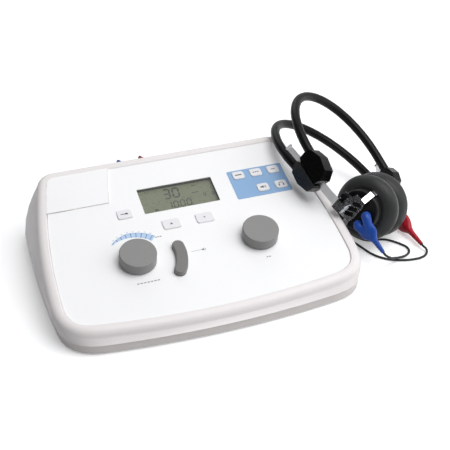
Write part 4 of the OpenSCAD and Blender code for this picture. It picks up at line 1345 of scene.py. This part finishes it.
@dataclass
class ControlDeck:
    """The printed overlay, the keys, the knobs and the tone bar.

    Attributes:
        keys: Place, width and height of each key, deck axes, by node.
        blue: Middle, width and height of the blue field.
        knob: Middle of the left knob.
        ink: Thickness of the print.
        key_top: Height of the keys' tops.
        gap: Gap round each key.
    """

    keys: dict[str, tuple[float, float, float, float]] = field(
        default_factory=lambda: {
            "display_key_side": (-59.6, 62.8, 14.4, 12.0),
            "display_key_left": (-17.8, 39.4, 17.6, 12.6),
            "display_key_right": (16.6, 39.4, 17.6, 12.6),
            "mode_key_1": (68.6, 87.2, 12.4, 10.6),
            "mode_key_2": (87.8, 87.2, 12.4, 10.6),
            "mode_key_3": (107.0, 87.2, 12.4, 10.6),
            "mode_key_4": (88.2, 64.8, 12.4, 10.6),
            "mode_key_5": (108.0, 64.8, 12.4, 10.6),
        }
    )
    blue: tuple[float, float, float, float] = (87.6, 74.4, 59.4, 39.6)
    knob: tuple[float, float] = (-61.8, 2.0)
    ink: float = 0.05
    key_top: float = 0.9
    gap: float = 0.25

    def build(self, shop: Shop) -> None:
        """Dress the deck and lay its print."""
        shop.soften("overlay_panel", OVERLAY_WHITE, 35)
        for node in self.keys:
            shop.soften(node, KEY_WHITE, 35, 0.12)
        shop.soften("left_knob", KNOB_GREY, 30)
        shop.soften("right_knob", KNOB_GREY, 30)
        shop.soften("tone_bar", BAR_GREY, 40, 0.5)
        self.blue_field(shop)
        self.level_scale(shop)
        self.small_marks(shop)
        self.key_marks(shop)

    def printed(self, shop: Shop, name: str, outlines: Iterable[Outline], finish: Finish,
                holes: Sequence[Outline] = (), lift: float = 0.0) -> Piece:
        """Lay a film of ink on the overlay.

        Args:
            shop: The shop that dresses it.
            name: Its name.
            outlines: The shapes that it covers, deck axes.
            finish: Its ink.
            holes: Holes in the first shape.
            lift: Height of what it lies on above the overlay.

        Returns:
            The print.
        """
        low, high = lift + 0.01, lift + 0.01 + self.ink
        forms = [slab(o, low, high, holes if i == 0 else ()) for i, o in enumerate(outlines)]
        return shop.make(name, together(*forms), deck_frame(), finish, "console")

    def blue_field(self, shop: Shop) -> None:
        """The blue field under the five mode keys, with a hairline border."""
        u, v, width, height = self.blue
        holes = []
        for node, (ku, kv, kw, kh) in self.keys.items():
            if node.startswith("mode_key"):
                holes.append(moved(rounded(kw + 2 * self.gap + 0.1, kh + 2 * self.gap + 0.1, 2.65), ku, kv))
        self.printed(shop, "blue_field", [moved(rounded(width, height, 1.2), u, v)], INK_BLUE, holes)
        edge = moved(rounded(width + 0.7, height + 0.7, 1.5), u, v)
        inner = moved(rounded(width + 0.1, height + 0.1, 1.2), u, v)
        self.printed(shop, "blue_field_edge", [edge], INK_DEEP, [inner])

    def level_scale(self, shop: Shop) -> None:
        """The swelling level scale round the left knob, with its ticks and figures."""
        start, stop = 128.0, 47.0

        def outer(share: float) -> float:
            """Outer radius along the scale."""
            return 31.6 + 3.5 * min(share * 2.4, 1.0)

        def inner(share: float) -> float:
            """Inner radius along the scale."""
            return 31.0 - 2.6 * share

        band = sector(self.knob, inner, outer, start, stop, 48)
        self.printed(shop, "level_scale", [band], INK_PALE)
        ticks = []
        for i in range(9):
            share = (i + 0.5) / 9
            angle = start + (stop - start) * share
            ticks.append(sector(self.knob, lambda s, k=share: inner(k), lambda s, k=share: outer(k),
                                angle + 0.7, angle - 0.7, 3))
        self.printed(shop, "level_ticks", ticks, INK_DEEP, lift=self.ink + 0.01)
        rim = sector(self.knob, lambda s: outer(s), lambda s: outer(s) + 0.35, start, stop, 48)
        self.printed(shop, "level_scale_edge", [rim], INK_DEEP)
        for i in range(8):
            share = (i + 1) / 9
            angle = math.radians(start + (stop - start) * share)
            radius = outer(share) + 1.9
            place = Matrix.Translation((self.knob[0] + radius * math.cos(angle),
                                        self.knob[1] + radius * math.sin(angle), 0.01))
            at = deck_frame() @ place @ Matrix.Rotation(angle - math.pi / 2, 4, "Z")
            self.figure(shop, f"level_figure_{i}", str((i + 1) * 10), at, 1.9, INK_SOFT)

    def figure(self, shop: Shop, name: str, text: str, at: Matrix, size: float, finish: Finish) -> None:
        """Print a plain number.

        Args:
            shop: The shop that dresses it.
            name: The piece's name.
            text: The number.
            at: Its axes, millimetres.
            size: Its height.
            finish: Its ink.
        """
        data = bpy.data.curves.new(name + "_type", "FONT")
        data.body = text
        data.size = size
        data.align_x = "CENTER"
        data.align_y = "CENTER"
        data.extrude = self.ink / 2
        data.resolution_u = 3
        draft = bpy.data.objects.new(name + "_draft", data)
        bpy.context.scene.collection.objects.link(draft)
        bpy.context.view_layer.update()
        graph = bpy.context.evaluated_depsgraph_get()
        mesh = bpy.data.meshes.new_from_object(draft.evaluated_get(graph))
        bpy.data.objects.remove(draft)
        solid = Solid([v.co + Vector((0, 0, self.ink / 2)) for v in mesh.vertices],
                      [tuple(p.vertices) for p in mesh.polygons])
        shop.make(name, solid, at, finish, "console")

    def small_marks(self, shop: Shop) -> None:
        """The hairline beside the tone bar and the short generic label lines."""
        self.printed(shop, "tone_line", [bar(-4.4, 0.1, (9.6, 0.35, 0.17))], INK_GREY)
        horn = [(1.0, -0.7), (2.2, -0.7), (3.8, -1.7), (3.8, 1.7), (2.2, 0.7), (1.0, 0.7)]
        wave = arc((2.6, 0), 2.2, 0.5, -35, 35, 8)
        self.printed(shop, "tone_mark", [horn, wave], INK_GREY)
        rows = [("level_label", -70.2, -25.4, 23.0, 7), ("right_label", 59.2, -24.8, 5.0, 2),
                ("scale_label", -38.4, 26.4, 7.0, 3)]
        for name, u, v, width, count in rows:
            step = width / count
            dash = (step * 0.72, 1.15, 0.3)
            dashes = [bar(u + step * (i + 0.5), v, dash) for i in range(count)]
            self.printed(shop, name, dashes, INK_GREY)

    def key_marks(self, shop: Shop) -> None:
        """The small generic signs on the key caps."""
        arch = arc((0, -0.4), 2.0, 0.7, 0, 180, 14)
        pads = [bar(x, -1.5, (1.3, 2.6, 0.5), 3) for x in (-2.4, 2.4)]
        mouth = [(-3.0, -0.8), (-1.2, -0.8), (0.6, -1.7), (0.6, 1.7), (-1.2, 0.8), (-3.0, 0.8)]
        waves = [arc((0.2, 0), r, 0.45, -40, 40, 8) for r in (1.4, 2.5)]
        signs: dict[str, tuple[list[Outline], Moulded]] = {
            "display_key_side": ([bar(0, 0, (7.6, 0.9, 0.3)), bar(2.2, 0, (2.6, 2.0, 0.4))], INK_BLACK),
            "display_key_left": ([[(-1.5, -1.1), (1.5, -1.1), (0, 1.4)]], INK_BLACK),
            "display_key_right": ([[(-1.3, 1.0), (0, -1.2), (1.3, 1.0)]], INK_GREY),
            "mode_key_1": ([bar(0, 0, (7.2, 1.3, 0.3))], INK_BLACK),
            "mode_key_2": ([bar(x, 0, (1.8, 1.1, 0.3)) for x in (-2.4, 0, 2.4)], INK_BLACK),
            "mode_key_3": ([bar(0, 0, (4.6, 0.8, 0.3))], INK_BLACK),
            "mode_key_4": ([mouth, *waves], INK_BLACK),
            "mode_key_5": ([arch, *pads], INK_BLACK),
        }
        for node, (outlines, finish) in signs.items():
            u, v, _, _ = self.keys[node]
            body = frame["nodes"][node]["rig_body"]
            low = self.key_top + 0.01
            forms = [slab(moved(o, u, v), low, low + self.ink) for o in outlines]
            shop.make(node + "_sign", together(*forms), deck_frame(), finish, body)


@dataclass
class Display:
    """The window, the recess under it with its dark liner of painted shade, and the reading on the panel.

    Attributes:
        middle: Middle of the window up the slope.
        width: Width of the window.
        height: Height of the window.
        panel: Height of the panel's face, below the overlay.
        window_low: Height of the window's underside.
        bars: Which of a digit's seven bars each figure lights: top, top left, top right,
            middle, bottom left, bottom right, bottom.
    """

    middle: float = 75.5
    width: float = 79.0
    height: float = 34.4
    panel: float = -4.2
    window_low: float = -1.6
    bars: dict[str, tuple[int, ...]] = field(
        default_factory=lambda: {
            "0": (1, 1, 1, 0, 1, 1, 1),
            "1": (0, 0, 1, 0, 0, 1, 0),
            "3": (1, 0, 1, 1, 0, 1, 1),
        }
    )

    def digit(self, figure: str, u: float, v: float, wide: float, tall: float,
              stroke: float) -> list[Outline]:
        """The lit bars of one figure.

        Args:
            figure: The figure.
            u: Its middle across.
            v: Its middle up the slope.
            wide: Its width.
            tall: Its height.
            stroke: Width of a bar.

        Returns:
            One outline for each lit bar.
        """
        half, gap = stroke / 2, 0.22
        x, y = wide / 2 - half, tall / 2 - half
        ends = [((-x, y), (x, y)), ((-x, 0), (-x, y)), ((x, 0), (x, y)), ((-x, 0), (x, 0)),
                ((-x, -y), (-x, 0)), ((x, -y), (x, 0)), ((-x, -y), (x, -y))]
        lit = []
        for on, (a, b) in zip(self.bars[figure], ends):
            if not on:
                continue
            along = Vector((b[0] - a[0], b[1] - a[1])).normalized()
            side = Vector((-along.y, along.x)) * half
            start, stop = Vector(a) + along * gap, Vector(b) - along * gap
            corners = [start, start + along * half - side, stop - along * half - side, stop,
                       stop - along * half + side, start + along * half + side]
            lean = 0.06
            lit.append([(u + c.x + c.y * lean, v + c.y) for c in corners])
        return lit

    def reading(self) -> list[Outline]:
        """Everything that the panel shows."""
        shapes: list[Outline] = []
        for i, figure in enumerate("30"):
            shapes += self.digit(figure, -10.0 + i * 9.6, 83.4, 7.8, 14.2, 1.7)
        for i, figure in enumerate("1000"):
            shapes += self.digit(figure, -11.2 + i * 6.9, 67.6, 5.5, 9.8, 1.25)
        shapes.append(bar(19.2, 79.0, (7.6, 1.0, 0.3)))
        shapes.append(bar(-25.6, 64.6, (3.6, 2.2, 0.5), 3))
        shapes += [arc((31.0, 74.2), r, 0.7, 130, 230, 10) for r in (2.0, 3.6)]
        shapes += [arc((34.6, 73.6), r, 0.7, -60, 60, 10) for r in (1.6, 3.2)]
        shapes.append(bar(20.0, 88.6, (5.0, 0.8, 0.3)))
        return shapes

    def build(self, shop: Shop) -> None:
        """Dress the display."""
        shop.soften("lcd_module", SCREEN_OLIVE, 35)
        shop.soften("display_window", SCREEN_CLEAR, 35)
        low, high = self.panel + 0.02, self.panel + 0.06
        lit = together(*[slab(shape, low, high) for shape in self.reading()])
        shop.make("display_reading", lit, deck_frame(), SEGMENT_DARK, "console")
        # Painted shade: a dark liner round the recess walls under the window.
        inner = moved(rounded(self.width + 0.3, self.height + 0.3, 1.2), 0, self.middle)
        outer = moved(rounded(self.width + 0.9, self.height + 0.9, 1.45), 0, self.middle)
        shop.make("display_mask_frame", slab(outer, self.panel + 0.03, self.window_low - 0.04, [inner]),
                  deck_frame(), PAINTED_RECESS_SHADE, "console")


# ---- the headset ----


@dataclass
class Headband:
    """Two padded spring bands between the slider blocks.

    Attributes:
        half: Half the distance between the blocks.
        tall: Height of the bands' half ellipse.
        lift: Height where the ellipse starts.
        splay: Lean of each band, degrees.
        apart: Half the distance between the bands at the blocks.
        leg: Height where each band ends in the near block.
        far_drop: How much lower the far block takes its ends.
        radius: Radius of the padding.
    """

    half: float = 62.5
    tall: float = 77.0
    lift: float = 12.7
    splay: float = 6.7
    apart: float = 10.5
    leg: float = 0.1
    far_drop: float = 14.0
    radius: float = 4.8

    def band_point(self, x: float, z: float, s: int) -> Vector:
        """A point of a band: how far across, how high, and +1 for the upper band."""
        lean = math.radians(self.splay)
        return Vector((x, -s * (self.apart + z * math.sin(lean)), z * math.cos(lean)))

    def line(self, s: int) -> list[Vector]:
        """The middle line of one band."""
        steps = 112
        legs = 6
        near = [self.leg + (self.lift - self.leg) * i / legs for i in range(legs)]
        low = self.leg - self.far_drop
        far = [self.lift + (low - self.lift) * (i + 1) / legs for i in range(legs)]
        arch = [math.pi - math.pi * i / steps for i in range(steps + 1)]
        return (
            [self.band_point(-self.half, z, s) for z in near]
            + [self.band_point(self.half * math.cos(a), self.lift + self.tall * math.sin(a), s) for a in arch]
            + [self.band_point(self.half, z, s) for z in far]
        )

    def build(self, shop: Shop) -> None:
        """Make the padded bands and dress the blocks."""
        for s, node in [(1, "upper_sleeve"), (-1, "lower_sleeve")]:
            line = self.line(s)
            give = [1 + 0.006 * math.sin(i * 0.7) + 0.004 * math.sin(i * 1.9 + s) for i in range(len(line))]
            tube = swept(line, [(self.radius * g, self.radius * g) for g in give], 32)
            band = shop.make(f"{node}_foam", tube, headset_frame(), BAND_BLACK, "headband", 60,
                             stands_for=[node])
        shop.paint("band_wires", TURNED_STEEL)
        for side in Side:
            shop.soften(f"{side.word}_block", BLACK_PLASTIC, 30, 1.2)


@dataclass
class Boot:
    """A moulded cable boot: two lobes over the pins, a shoulder and a ribbed tail.

    Attributes:
        hue: The word that its node starts with.
        finish: Its moulding.
        line: Its middle line in cup axes: pins, shoulder, neck and tip.
        pin_gap: Half the distance between its two pins.
        back: Height of the capsule's back.
        ribs: Ribs on its tail.
        tail_start: Radius of the tail at the neck.
        tail_end: Its radius at the tip.
    """

    hue: str
    finish: Moulded
    line: list[Point]
    pin_gap: float = 6.4
    back: float = 32.6
    ribs: int = 7
    tail_start: float = 3.4
    tail_end: float = 1.9

    def lobe(self, s: int) -> Solid:
        """One lobe, from its pin into the shoulder."""
        foot, shoulder, neck, _ = (Vector(p) for p in self.line)
        pin = foot + Vector((0, s * self.pin_gap, 0))
        knots = [Vector((pin.x + 0.6, pin.y, self.back + 0.3)), Vector((pin.x + 0.4, pin.y, self.back + 3.2)),
                 Vector((pin.x - 2.2, pin.y - s * 0.4, self.back + 5.2)), shoulder + Vector((0, s * 3.2, 0)),
                 neck + Vector((1.0, s * 0.6, 0))]
        line = curve_through(knots, 6)
        count = len(line) - 1
        sizes = []
        for i in range(count + 1):
            share = i / count
            radius = 4.4 + 0.5 * math.sin(math.pi * min(share * 1.3, 1)) - 0.9 * max(share - 0.7, 0)
            sizes.append((radius, radius))
        return swept(line, sizes, 20)

    def body(self) -> Solid:
        """The shoulder that joins the lobes and runs down to the neck."""
        _, shoulder, neck, tip = (Vector(p) for p in self.line)
        knots = [shoulder + Vector((4.5, 0, -0.4)), shoulder, neck, neck + (tip - neck) * 0.22]
        line = curve_through(knots, 6)
        count = len(line) - 1
        sizes = []
        for i in range(count + 1):
            share = i / count
            narrowing = min(max((share - 0.42) / 0.5, 0), 1)
            wide = 9.2 - 5.4 * narrowing**2 * (3 - 2 * narrowing)
            thick = 4.6 - 1.0 * share
            sizes.append((wide, thick))
        return swept(line, sizes, 28, wide=Vector((0, 1, 0)))

    def tail(self) -> Solid:
        """The ribbed tail that lets the lead bend."""
        _, _, neck, tip = (Vector(p) for p in self.line)
        per = 8
        steps = self.ribs * per
        start = neck + (tip - neck) * 0.08
        line = [start.lerp(tip, i / steps) for i in range(steps + 1)]
        sizes = []
        for i in range(steps + 1):
            share = i / steps
            taper = (1 - share) ** 0.8
            radius = self.tail_start * taper + self.tail_end * (1 - taper)
            wave = 0.5 - 0.5 * math.cos(math.tau * (i % per) / per)
            groove = 0.32 * (1 - 0.5 * share) * wave if share > 0.25 else 0
            sizes.append((radius - groove, radius - groove))
        return swept(line, sizes, 24)

    def build(self, shop: Shop, side: Side) -> Piece:
        """Join the forms, blend the lobes into the shoulder and add the tail.

        Args:
            shop: The shop that dresses it.
            side: The earphone that it is on.

        Returns:
            The boot.
        """
        at = cup_frame(side)
        forms = together(self.lobe(1), self.lobe(-1), self.body())
        piece = shop.make(f"{self.hue}_boot_shown", forms, at, self.finish, f"{side.word}_earphone", 60,
                          stands_for=[f"{self.hue}_boot"])
        fuse = piece.modifiers.new("fuse", "REMESH")
        fuse.mode = "VOXEL"
        fuse.voxel_size = 0.5 * MM
        soft = piece.modifiers.new("soft", "SMOOTH")
        soft.factor = 0.5
        soft.iterations = 5
        shop.swap_mesh(piece)
        piece.data.materials.clear()
        piece.data.materials.append(shop.coat(self.finish))
        piece.data.shade_smooth()
        shop.make(f"{self.hue}_boot_tail", self.tail(), at, self.finish, f"{side.word}_earphone", 60,
                  stands_for=[f"{self.hue}_boot"])
        return piece


@dataclass
class Earphone:
    """One earphone: rod, yoke, case, driver, cushion and boot.

    Attributes:
        side: Near or far.
        boot: Its cable boot.
        gap: Half the gap between the two cushions.
        screw: The clamp screw's middle on the yoke, cup axes.
        screw_r: The clamp screw's radius.
        back: Height of the yoke's plate.
        steps: Sides round the cushion.
    """

    side: Side
    boot: Boot
    gap: float = 0.25
    screw: tuple[float, float] = (18.0, -3.0)
    screw_r: float = 3.7
    back: float = 38.2
    steps: int = 144

    def cushion_profile(self) -> list[tuple[float, float]]:
        """Radius and height round the moulded rubber cushion's section."""
        g = self.gap
        rim = [(15.0, g + 2.5), (18.0, g + 0.5), (21.0, g), (26.0, g), (29.8, g + 1.6), (32.6, g + 5.2),
               (33.8, g + 9.4), (34.0, g + 12.2), (33.4, g + 15.0), (31.2, g + 18.0), (27.6, g + 20.6),
               (23.5, g + 22.0)]
        line = [(p.x, p.z) for p in curve_through([(r, 0, s) for r, s in rim], 5)]
        parted = []
        for radius, height in line:
            ridge = 0.16 * math.exp(-(((height - g - 12.2) / 0.5) ** 2)) if radius > 30 else 0
            parted.append((radius + ridge, height))
        return parted + [(21.9, g + 22.0), (21.6, g + 21.7), (21.6, 12.5), (15.0, 12.5)]

    def cushion(self, shop: Shop) -> Piece:
        """Make the cushion, a little uneven as soft rubber is."""
        form = turned(self.cushion_profile(), self.steps)
        points = []
        for p in form.points:
            angle = math.atan2(p.y, p.x)
            give = 0.1 * math.sin(2 * angle + self.side.value) + 0.06 * math.sin(5 * angle)
            share = max(min((math.hypot(p.x, p.y) - 24) / 8, 1), 0)
            shrink = 1 - 0.004 * share
            points.append(Vector((p.x * shrink, p.y * shrink, p.z + give * share * 0.8)))
        word = self.side.word
        pad = shop.make(f"{word}_cushion_pad", Solid(points, form.faces), cup_frame(self.side), PAD_GREY,
                        f"{word}_earphone", 50, stands_for=[f"{word}_cushion"])
        return pad

    def is_screw(self, place: Vector) -> bool:
        """Whether a place, frame millimetres, is on the black clamp screw."""
        local = cup_frame(self.side).inverted() @ place
        near = math.hypot(local.x - self.screw[0], local.y - self.screw[1]) < self.screw_r
        return near and (local.z > self.back + 1.52 or local.z < self.back - 0.02)

    def build(self, shop: Shop) -> None:
        """Make and dress the whole earphone."""
        word = self.side.word
        # The rods take the lighter copy of the chrome, painted light.
        shop.soften(f"{word}_rod", LIT_ROD_CHROME, 30, 0.35)
        shop.soften(f"{word}_yoke", CHROME, 30, 0.15, BLACK_PLASTIC, self.is_screw)
        shop.soften(f"{word}_capsule", DARK_PLASTIC, 30)
        shop.paint(f"{word}_driver", TURNED_STEEL)
        self.cushion(shop)
        self.boot.build(shop, self.side)


# ---- the whole audiometer ----

FLOOR = 1.3
NEAR_BOOT_LINE: list[Point] = [(-11, 3, 37), (-21, 4.8, 38.2), (-29.5, 6.2, 37), (-48, 10.2, 33.5)]
FAR_BOOT_LINE: list[Point] = [(-14.5, 3.6, 37), (-26, 3.2, 37.8), (-37, 1.8, 32.6), (-61.5, -2.6, 20.8)]


@dataclass
class Audiometer:
    """The console, its headset and the two leads between them.

    Attributes:
        shop: What makes and dresses the pieces.
        blue_coil: The near lead's coil.
        red_coil: The far lead's coil.
    """

    shop: Shop = field(default_factory=Shop)
    blue_coil: Coil = field(default_factory=lambda: Coil((100, 186)))
    red_coil: Coil = field(default_factory=lambda: Coil((35, 166)))

    def leads(self) -> list[EarphoneLead]:
        """The two leads with their routes over the table."""
        blue_free = [(186, -40, 12), (194, -36.5, 7), (204, -32.5, 3), (212, -29, FLOOR), (217.5, -24, FLOOR),
                     (218.5, -17.5, FLOOR), (214.5, -9.5, FLOOR), (208.5, -2, FLOOR), (202, 3, FLOOR),
                     (194, 4.8, FLOOR), (186.5, 6.2, FLOOR), (179.5, 12, FLOOR), (174, 24, FLOOR),
                     (170, 44, FLOOR), (168.5, 100, FLOOR), (168.5, 135, FLOOR), (166, 148, FLOOR),
                     (159, 159, FLOOR), (148, 165.5, FLOOR), (132, 167.3, 1.6), (116, 167.5, 2.2)]
        red_free = [(234.5, -29, 3.2), (231.5, -34.5, 1.8), (225, -37.5, FLOOR), (216, -38, FLOOR),
                    (205, -36, FLOOR), (194, -31.5, FLOOR), (185, -24.5, FLOOR), (178.5, -15, FLOOR),
                    (174.5, -4, FLOOR), (170, 9, FLOOR), (165, 24, FLOOR), (162, 45, FLOOR),
                    (161.5, 80, FLOOR),
                    (161.5, 118, FLOOR), (160.5, 130, FLOOR), (156, 139.5, FLOOR), (147, 145.5, FLOOR),
                    (134, 147.4, FLOOR), (90, 147.5, FLOOR), (60, 147.5, 1.6)]
        blue_last = [(80, 167.5, 10), (70, 174, 7), (62, 184, 4), (53, 192.5, 2), (42, 196.5, FLOOR),
                     (20, 198, FLOOR),
                     (-2, 198.5, 1.6), (-16, 198.5, 4), (-28, 196.5, 10), (-35, 193, 19), (-37.6, 189, 29),
                     (-38, 185, 37), (-38, 181.3, 42)]
        red_last = [(18, 151, 11), (8, 160, 9.5), (1, 170, 9.5), (-4, 179, 12.5), (-8, 185, 18),
                    (-11, 187.6, 26),
                    (-12.6, 186.8, 34), (-13, 184, 40), (-13, 181, 43)]
        return [
            EarphoneLead("blue_earphone_lead", Side.NEAR, "blue", NEAR_BOOT_LINE[2:], blue_free,
                         self.blue_coil, blue_last, run_in=5.0, plug_x=BLUE_JACK, length=1.59),
            EarphoneLead("red_earphone_lead", Side.FAR, "red", FAR_BOOT_LINE[2:], red_free,
                         self.red_coil, red_last, run_in=6.0, plug_x=RED_JACK, length=1.545),
        ]

    def build(self) -> None:
        """Build every piece in order, leads first."""
        plugs = {"blue": JackPlug("blue", BLUE_JACK, BOOT_BLUE), "red": JackPlug("red", RED_JACK, BOOT_RED)}
        for lead in self.leads():
            lead.build(self.shop, plugs[lead.hue].build(self.shop))
        CoilTies([self.blue_coil, self.red_coil]).build(self.shop)
        ConsoleCase().build(self.shop)
        RearPanel().build(self.shop)
        ControlDeck().build(self.shop)
        Display().build(self.shop)
        Headband().build(self.shop)
        Earphone(Side.NEAR, Boot("blue", BOOT_BLUE, NEAR_BOOT_LINE)).build(self.shop)
        Earphone(Side.FAR, Boot("red", BOOT_RED, FAR_BOOT_LINE)).build(self.shop)


def main() -> None:
    """Build the studio and the audiometer."""
    logging.basicConfig(level=logging.INFO, format="%(name)s: %(message)s")
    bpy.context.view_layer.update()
    Studio().build()
    Audiometer().build()
    bpy.context.view_layer.update()


if __name__ == "__main__":
    main()
